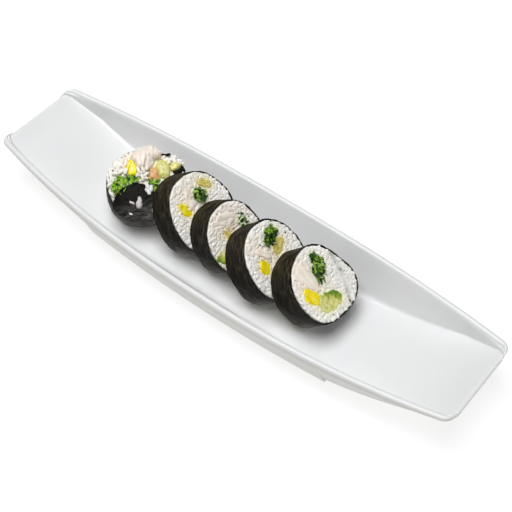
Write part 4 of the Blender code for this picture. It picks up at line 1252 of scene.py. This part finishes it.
def stray_grains(piece, sizes):
    """Grains that stick to the flap and the torn edge, each at its own place, turn and girth."""
    across, up, lift, turn, length, girth = np.array(STRAY_GRAINS).T
    count = len(turn)
    rng = np.random.default_rng(7)
    turned = rotations(np.radians(turn), rng.normal(0, 0.2, count), rng.uniform(0, 3, count))
    shapes = grain_rings(count, rng, sizes) * np.column_stack([length, girth, girth])[:, None, None]
    x, y = across * MM, up * MM
    middle = np.column_stack([x, y, face_level(piece, x, y) + lift * MM])
    points, quads, triangles = tubes(turn_each(turned, shapes) + middle[:, None, None])
    tint = np.ones((count, 3))
    for first, last, colour in STRAY_TINTS:
        tint[first:last] = colour
    stain = np.repeat(tint, len(points) // count, axis=0)
    return points, quads, triangles, {"shade": np.full(len(points), 0.5), "stain": stain}


# Fillings

def relief(kind, spots, item):
    """Height of a filling's cut face: noise by its kind, folded flakes in fish, rolled layers in egg
    and a gentle saddle in avocado."""
    length, width = own_axes(item, spots, item.turn if item.outline is None else FLAKE_TURN)
    seed = int(abs(item.across) / MM * 10) + item.slice
    height = sum(depth * MM * noise(spots, spacing * MM, seed) for depth, spacing in RELIEF[kind])
    if kind == "fish":
        height = height + 0.35 * MM * np.abs(np.sin(width / (1.5 * MM) + 1.8 * noise(spots, 4 * MM, seed)))
    if kind == "omelette":
        height = height + 0.08 * MM * np.sin(width / (0.6 * MM) + 3 * noise(spots, 3 * MM, seed))
    if kind == "avocado":
        height = height + 0.1 * MM * length * width / (5 * MM) ** 2
    return height


def plug_points(piece, item):
    """A filling carried through the slice: rings from its back face's middle out, along its side and
    back in over its front, whose height falls off as the root of 1 less a power of the share out."""
    kind = kind_of(item)
    angle = turns(PLUG_ROUND)
    faces = np.linspace(0, 1, PLUG_RINGS + 1)[1:] ** 0.7
    shares = np.concatenate([faces, np.ones(4), faces[::-1]])
    side = np.concatenate([np.zeros(PLUG_RINGS), [0.1, 0.35, 0.65, 0.9], np.ones(PLUG_RINGS)])
    proud = item.proud > PROUD
    edge = item.proud + 2 * MM if proud else EDGE_DROP.get(kind, 0.9) * MM
    fall = 1 - np.sqrt(np.maximum(1 - shares ** (5 if proud else 8), 0))
    flush = 0.0 if proud or kind == "greens" else 0.35 * MM
    top = piece.thickness + item.proud - flush - edge * fall
    bottom = 0.3 * MM + 0.9 * MM * (1 - np.sqrt(np.maximum(1 - shares ** 8, 0)))
    level = bottom + (top - bottom) * side
    points = raised(outline_places(item, angle, shares[:, None]), level[:, None])
    height = relief(kind, points * [1, 1, 0], item) * (1 - shares ** 6)[:, None]
    points[..., 2] += height * np.sign(side - 0.5)[:, None] * (2.0 if proud else 1.0)
    swell = SWELL.get(kind, 0.6) * MM * noise(points, 3.2 * MM, piece.number + 5) * shares[:, None]
    points[..., :2] += polar(swell, angle + math.radians(item.turn))
    x, y = points[..., 0], points[..., 1]
    rim = rice_radius(piece, np.arctan2(y, x)) - 0.2 * MM
    points[..., :2] *= np.minimum(1, rim / np.hypot(x, y))[..., None]
    return points, np.broadcast_to(shares[:, None], points.shape[:2])


def inside_of(item, points):
    """Places in a filling's own frame: along its length, across its width, through the slice."""
    return np.stack([*own_axes(item, points, item.turn), points[..., 2]], axis=-1)


def lump_part(piece, item):
    """A flake on the torn slice: rings from its foot to its top, whose reach is a power of the sine
    of their polar angle and whose height is its cosine, with noise on both."""
    tilt = np.linspace(0, math.pi, LUMP_RINGS + 2)[1:-1]
    half = 0.5 * (item.proud + FLAKE_DEEPER)
    level = piece.thickness + item.proud - half - half * np.cos(tilt)
    shares = np.sin(tilt) ** BLUNT[item.kind]
    rings = raised(outline_places(item, turns(PLUG_ROUND), shares[:, None]), level[:, None])
    for axis in range(3):
        uneven = noise(rings, 3 * MM, 90 + axis) + FINE_LUMPS * noise(rings, 1.1 * MM, axis)
        rings[..., axis] += LUMPS[item.kind] * MM * uneven
    rings[..., 2] += RELIEF_DEPTH.get(item.kind, 0.5) * relief(item.kind, rings * [1, 1, 0], item)
    points, quads, triangles = tubes(rings[None])
    return points, quads, triangles, {"inside": inside_of(item, points), "rim": np.zeros(len(points))}


def plug_part(piece, item):
    """A filling's points, faces and attributes."""
    rings, shares = plug_points(piece, item)
    points, quads, triangles = tubes(rings[None])
    rim = np.concatenate([shares.ravel(), [0.0, 0.0]])
    if item.kind == "cucumber":
        angle = np.arctan2(points[:, 1] - item.up, points[:, 0] - item.across)
        rim = rim * np.clip(1.4 * np.cos(angle - math.radians(SKIN_DIRECTION[piece.number])) - 0.1, 0, 1)
    return points, quads, triangles, {"inside": inside_of(item, points), "rim": rim}


def make_fillings(context, kind):
    """Every filling of one kind that is one smooth piece."""
    finish = filling_finish(kind, context.scene.maki_colours)
    for item in FILLINGS:
        if item.kind == kind:
            piece = SLICES[item.slice - 1]
            flakes = [flake for flake in FLAKES if flake.slice == item.slice and flake.kind == kind]
            parts = [plug_part(piece, item)] + [lump_part(piece, flake) for flake in flakes]
            new_piece(f"{kind}_{piece.number}", placed(piece, join(parts)), finish,
                      [f"slice_{piece.number}_{kind}"])


def leaf_rings(count, rng, length, width, thickness):
    """Chopped leaves: flat tubes whose half width is a sine along the length with ragged lobes,
    crumpled by two sine waves."""
    v = np.linspace(0, 1, LEAF_RINGS + 2)[1:-1][None, :, None]
    u = turns(LEAF_ROUND)
    length, width = length[:, None, None], width[:, None, None]
    phase = rng.uniform(0, 2 * math.pi, (3, count, 1, 1))
    lobes = 1 + 0.3 * np.sin(9 * v + phase[0])
    x = length * (v - 0.5) * np.ones((count, 1, LEAF_ROUND))
    y = 0.5 * width * np.sin(math.pi * v) ** 0.6 * lobes * np.cos(u)
    crumple = 0.16 * length * np.sin(1.5 * math.pi * v + phase[1])
    crumple = crumple + 0.22 * width * np.cos(4.4 * y / width + phase[2])
    z = 0.5 * thickness * np.sin(u) + crumple
    return np.stack([x, y, z], axis=-1)


def bundle_part(piece, item, front, sizes, seed):
    """Leaves and stems of one bunch of greens on one face, at random places within its outline."""
    rng = np.random.default_rng(seed)
    if front:
        item = BUNCHES.get(item.kind, item)
    sparse = (item.slice, item.kind) == SPARSE
    area = math.pi * item.length * item.width / 4
    count = int(area / LEAF_AREA * (1.0 if front else 0.5) * (SPARSE_LEAVES if sparse else 1.0))
    stems = max(2, int(count * STEM_SHARE))
    total = count + stems
    angle = rng.uniform(0, 2 * math.pi, total)
    share = (SPARSE_SPREAD if sparse else 0.94) * np.sqrt(rng.uniform(0, 0.99, total))
    spots = outline_places(item, angle, share)
    proud = item.proud > PROUD
    fall = 1 - np.sqrt(1 - np.minimum(share, 0.99) ** (5 if proud else 8))
    depth = rng.uniform(-0.9, 0.7, total) * MM
    level = item.proud - (item.proud + 1.2 * MM) * fall * proud + depth + (1.2 if proud else 0.2) * MM
    length = sizes.leaf_length * rng.uniform(0.6, 1.25, count)
    leaves = leaf_rings(count, rng, length, length * rng.uniform(0.28, 0.6, count), sizes.leaf_thickness)
    stalk = sizes.leaf_length * rng.uniform(0.8, 1.3, stems)
    stalks = leaf_rings(stems, rng, stalk, np.full(stems, sizes.stem_width), sizes.stem_width)
    yaw = rng.uniform(0, 2 * math.pi, total)
    turned = rotations(yaw, rng.normal(0, 0.45, total), rng.normal(0, 0.6, total))
    shapes = turn_each(turned, np.concatenate([leaves, stalks]))
    if front:
        middle = raised(spots, piece.thickness + level)
    else:
        shapes = shapes * [1, -1, -0.35]
        middle = raised(spots, -0.4 * depth)
    points, quads, triangles = tubes(shapes + middle[:, None, None])
    # painted shade: a leaf is darker the deeper it sits and lighter the higher; those on the torn slice are
    # all lighter
    own = np.clip(0.33 + 0.3 * (item.slice == TORN) + depth / MM * 0.35 + rng.normal(0, 0.22, total), 0, 1)
    stem = np.repeat([0.0, 1.0], [count, stems])
    each = len(points) // total
    return points, quads, triangles, {"shade": np.repeat(own, each), "stem": np.repeat(stem, each)}


def make_greens(context):
    """Each bunch of greens: a packed core, painted dark as shade between the leaves, covered with leaves and
    a few stems.
    """
    scene = context.scene
    finish = filling_finish("greens", scene.maki_colours)
    for number, item in enumerate(FILLINGS):
        if kind_of(item) == "greens":
            piece = SLICES[item.slice - 1]
            rings, shares = plug_points(piece, item)
            rings[..., 2] -= 0.6 * MM * np.sign(rings[..., 2] - 0.5 * piece.thickness)
            points, quads, triangles = tubes(rings[None])
            # painted shade: the core that shows between the leaves is dark
            values = {"shade": np.full(len(points), 0.1), "stem": np.zeros(len(points))}
            parts = [(points, quads, triangles, values)]
            for front in (True, False):
                parts.append(bundle_part(piece, item, front, scene.maki_sizes, 200 + number + 50 * front))
            new_piece(f"{item.kind}_{piece.number}", placed(piece, join(parts)), finish,
                      [f"slice_{piece.number}_{item.kind}"])


def crumbs(piece):
    """Crumbs of nori between the grains of a cut face: small flat tubes at random places."""
    rng = np.random.default_rng(300 + piece.number)
    count = CRUMBS[piece.number]
    length = rng.uniform(0.5, 1.3, count) * MM
    shapes = leaf_rings(count, rng, length, 0.55 * length, 0.35 * MM)
    yaw = rng.uniform(0, 2 * math.pi, count)
    turned = rotations(yaw, rng.normal(0, 0.3, count), rng.normal(0, 0.3, count))
    angle = rng.uniform(0, 2 * math.pi, count)
    spots = polar(rice_radius(piece, angle) * np.sqrt(rng.uniform(0.02, 0.9, count)), angle)
    middle = raised(spots, face_level(piece, *spots.T) + 0.1 * MM)
    points, quads, triangles = tubes(turn_each(turned, shapes) + middle[:, None, None])
    return placed(piece, (points, quads, triangles, {"sheet": points}))


def make_flecks(context):
    """Scraps of nori: small flat tubes between two places on a face, half sunk in the rice."""
    parts = []
    rng = np.random.default_rng(11)
    for number, x0, y0, x1, y1, width, height, lift in FLECKS:
        piece = SLICES[number - 1]
        start, end = np.array([x0, y0]) * MM, np.array([x1, y1]) * MM
        length = np.linalg.norm(end - start)
        shape = leaf_rings(1, rng, np.array([length]), np.array([width * MM]), height * MM) * [1, 1, 0.6]
        direction = math.atan2(end[1] - start[1], end[0] - start[0])
        turned = rotations(np.array([direction]), np.zeros(1), np.zeros(1))
        middle = 0.5 * (start + end)
        level = face_level(piece, *middle[:, None])[0] + lift * MM
        points, quads, triangles = tubes(turn_each(turned, shape) + [*middle, level])
        parts.append(placed(piece, (points, quads, triangles, {"sheet": points})))
    for piece in SLICES[1:]:
        parts.append(crumbs(piece))
    new_piece("nori_scraps", join(parts), bpy.data.materials["soaked_nori"], [])


# Studio

def camera_matrix(studio):
    """The camera's place: out along the view by its distance, shifted to centre the plate, rolled."""
    az, el = studio.azimuth, studio.elevation
    back = np.array([math.sin(az) * math.cos(el), -math.cos(az) * math.cos(el), math.sin(el)])
    right = np.array([math.cos(az), math.sin(az), 0.0])
    up = np.cross(back, right)
    c, s = math.cos(studio.roll), math.sin(studio.roll)
    right, up = c * right + s * up, c * up - s * right
    eye = back * studio.distance + right * CAMERA_RIGHT + up * CAMERA_UP
    return Matrix([*np.column_stack([right, up, back, eye]).tolist(), (0, 0, 0, 1)])


def soft_box(name, power, place, aim, width, height, colour):
    """A soft light: a glowing rectangle that looks at a point."""
    light = bpy.data.lights.new(name, "AREA")
    light.shape = "RECTANGLE"
    light.size = width
    light.size_y = height
    light.energy = power
    light.color = linear(colour)
    made = bpy.data.objects.new(name, light)
    bpy.context.scene.collection.objects.link(made)
    away = np.array(place, float) - np.array(aim, float)
    away /= np.linalg.norm(away)
    right = np.cross([0, 0, 1.0], away)
    right /= np.linalg.norm(right)
    columns = np.column_stack([right, np.cross(away, right), away, place])
    made.matrix_world = Matrix([*columns.tolist(), (0, 0, 0, 1)])


def make_stage(context):
    """The lit table, the soft lights, the white room and the camera."""
    scene = context.scene
    studio = scene.maki_studio
    mesh = bpy.data.meshes.new("floor")
    ring = raised(polar(TABLE_RADIUS, turns(64)), 0.0)
    mesh.from_pydata(ring.tolist(), [], [tuple(range(len(ring)))])
    floor = bpy.data.objects.new("floor", mesh)
    scene.collection.objects.link(floor)
    floor.data.materials.append(lit_acrylic(scene.maki_colours, studio.table_glow))
    soft_box("key", studio.key_power, *KEY_LIGHT)
    soft_box("side", studio.side_power, *SIDE_LIGHT)
    world = bpy.data.worlds.new("white_room")
    world.use_nodes = True
    background = world.node_tree.nodes["Background"]
    background.inputs["Color"].default_value = (1.0, 1.0, 1.0, 1.0)
    background.inputs["Strength"].default_value = studio.sky
    scene.world = world
    scene.view_settings.view_transform = "Standard"
    camera = bpy.data.cameras.new("camera")
    camera.lens = studio.lens
    made = bpy.data.objects.new("camera", camera)
    scene.collection.objects.link(made)
    made.matrix_world = camera_matrix(studio)
    scene.camera = made


# Operators

class MAKI_OT_plate(bpy.types.Operator):
    """Make the glazed boat plate"""
    bl_idname = "maki.plate"
    bl_label = "Plate"

    def execute(self, context):
        make_plate(context)
        return {"FINISHED"}


class MAKI_OT_nori(bpy.types.Operator):
    """Make the nori bands and the torn end's flap"""
    bl_idname = "maki.nori"
    bl_label = "Nori"

    def execute(self, context):
        make_nori(context)
        return {"FINISHED"}


class MAKI_OT_rice(bpy.types.Operator):
    """Make each slice's rice, grain by grain"""
    bl_idname = "maki.rice"
    bl_label = "Rice"

    def execute(self, context):
        make_rice(context)
        return {"FINISHED"}


class MAKI_OT_greens(bpy.types.Operator):
    """Make the bunches of chopped greens"""
    bl_idname = "maki.greens"
    bl_label = "Greens"

    def execute(self, context):
        make_greens(context)
        return {"FINISHED"}


class MAKI_OT_fish(bpy.types.Operator):
    """Make the pale pink fish"""
    bl_idname = "maki.fish"
    bl_label = "Fish"

    def execute(self, context):
        make_fillings(context, "fish")
        return {"FINISHED"}


class MAKI_OT_pickle(bpy.types.Operator):
    """Make the yellow pickle"""
    bl_idname = "maki.pickle"
    bl_label = "Pickle"

    def execute(self, context):
        make_fillings(context, "pickle")
        return {"FINISHED"}


class MAKI_OT_cucumber(bpy.types.Operator):
    """Make the cucumber"""
    bl_idname = "maki.cucumber"
    bl_label = "Cucumber"

    def execute(self, context):
        make_fillings(context, "cucumber")
        return {"FINISHED"}


class MAKI_OT_omelette(bpy.types.Operator):
    """Make the rolled egg"""
    bl_idname = "maki.omelette"
    bl_label = "Omelette"

    def execute(self, context):
        make_fillings(context, "omelette")
        return {"FINISHED"}


class MAKI_OT_end_fillings(bpy.types.Operator):
    """Make the carrot and avocado of the torn end slice"""
    bl_idname = "maki.end_fillings"
    bl_label = "Carrot and avocado"

    def execute(self, context):
        make_fillings(context, "carrot")
        make_fillings(context, "avocado")
        return {"FINISHED"}


class MAKI_OT_scraps(bpy.types.Operator):
    """Make the scraps of nori on the faces"""
    bl_idname = "maki.scraps"
    bl_label = "Nori scraps"

    def execute(self, context):
        make_flecks(context)
        return {"FINISHED"}


class MAKI_OT_stage(bpy.types.Operator):
    """Make the table, the lights and the camera"""
    bl_idname = "maki.stage"
    bl_label = "Studio"

    def execute(self, context):
        make_stage(context)
        return {"FINISHED"}


OPERATORS = (MAKI_OT_plate, MAKI_OT_nori, MAKI_OT_rice, MAKI_OT_greens, MAKI_OT_fish, MAKI_OT_pickle,
             MAKI_OT_cucumber, MAKI_OT_omelette, MAKI_OT_end_fillings, MAKI_OT_scraps, MAKI_OT_stage)


class MAKI_PT_panel(bpy.types.Panel):
    """Lists the sizes, the colours and one button for each group of pieces"""
    bl_label = "Maki"
    bl_space_type = "VIEW_3D"
    bl_region_type = "UI"
    bl_category = "Maki"

    def draw(self, context):
        scene = context.scene
        for group in (scene.maki_sizes, scene.maki_colours, scene.maki_studio):
            box = self.layout.box()
            for name in group.bl_rna.properties.keys():
                if name not in ("rna_type", "name"):
                    box.prop(group, name)
        for operator in OPERATORS:
            self.layout.operator(operator.bl_idname)


CLASSES = (MakiSizes, MakiColours, MakiStudio, *OPERATORS, MAKI_PT_panel)


def register():
    """Register the classes and hang the properties on the scene."""
    for each in CLASSES:
        bpy.utils.register_class(each)
    bpy.types.Scene.maki_sizes = bpy.props.PointerProperty(type=MakiSizes)
    bpy.types.Scene.maki_colours = bpy.props.PointerProperty(type=MakiColours)
    bpy.types.Scene.maki_studio = bpy.props.PointerProperty(type=MakiStudio)


def unregister():
    """Take the properties and the classes away again."""
    for name in ("maki_sizes", "maki_colours", "maki_studio"):
        delattr(bpy.types.Scene, name)
    for each in reversed(CLASSES):
        bpy.utils.unregister_class(each)


def main():
    """Make every piece, then the studio."""
    register()
    bpy.ops.maki.plate()
    bpy.ops.maki.nori()
    bpy.ops.maki.rice()
    bpy.ops.maki.greens()
    bpy.ops.maki.fish()
    bpy.ops.maki.pickle()
    bpy.ops.maki.cucumber()
    bpy.ops.maki.omelette()
    bpy.ops.maki.end_fillings()
    bpy.ops.maki.scraps()
    bpy.ops.maki.stage()


if __name__ == "__main__":
    main()
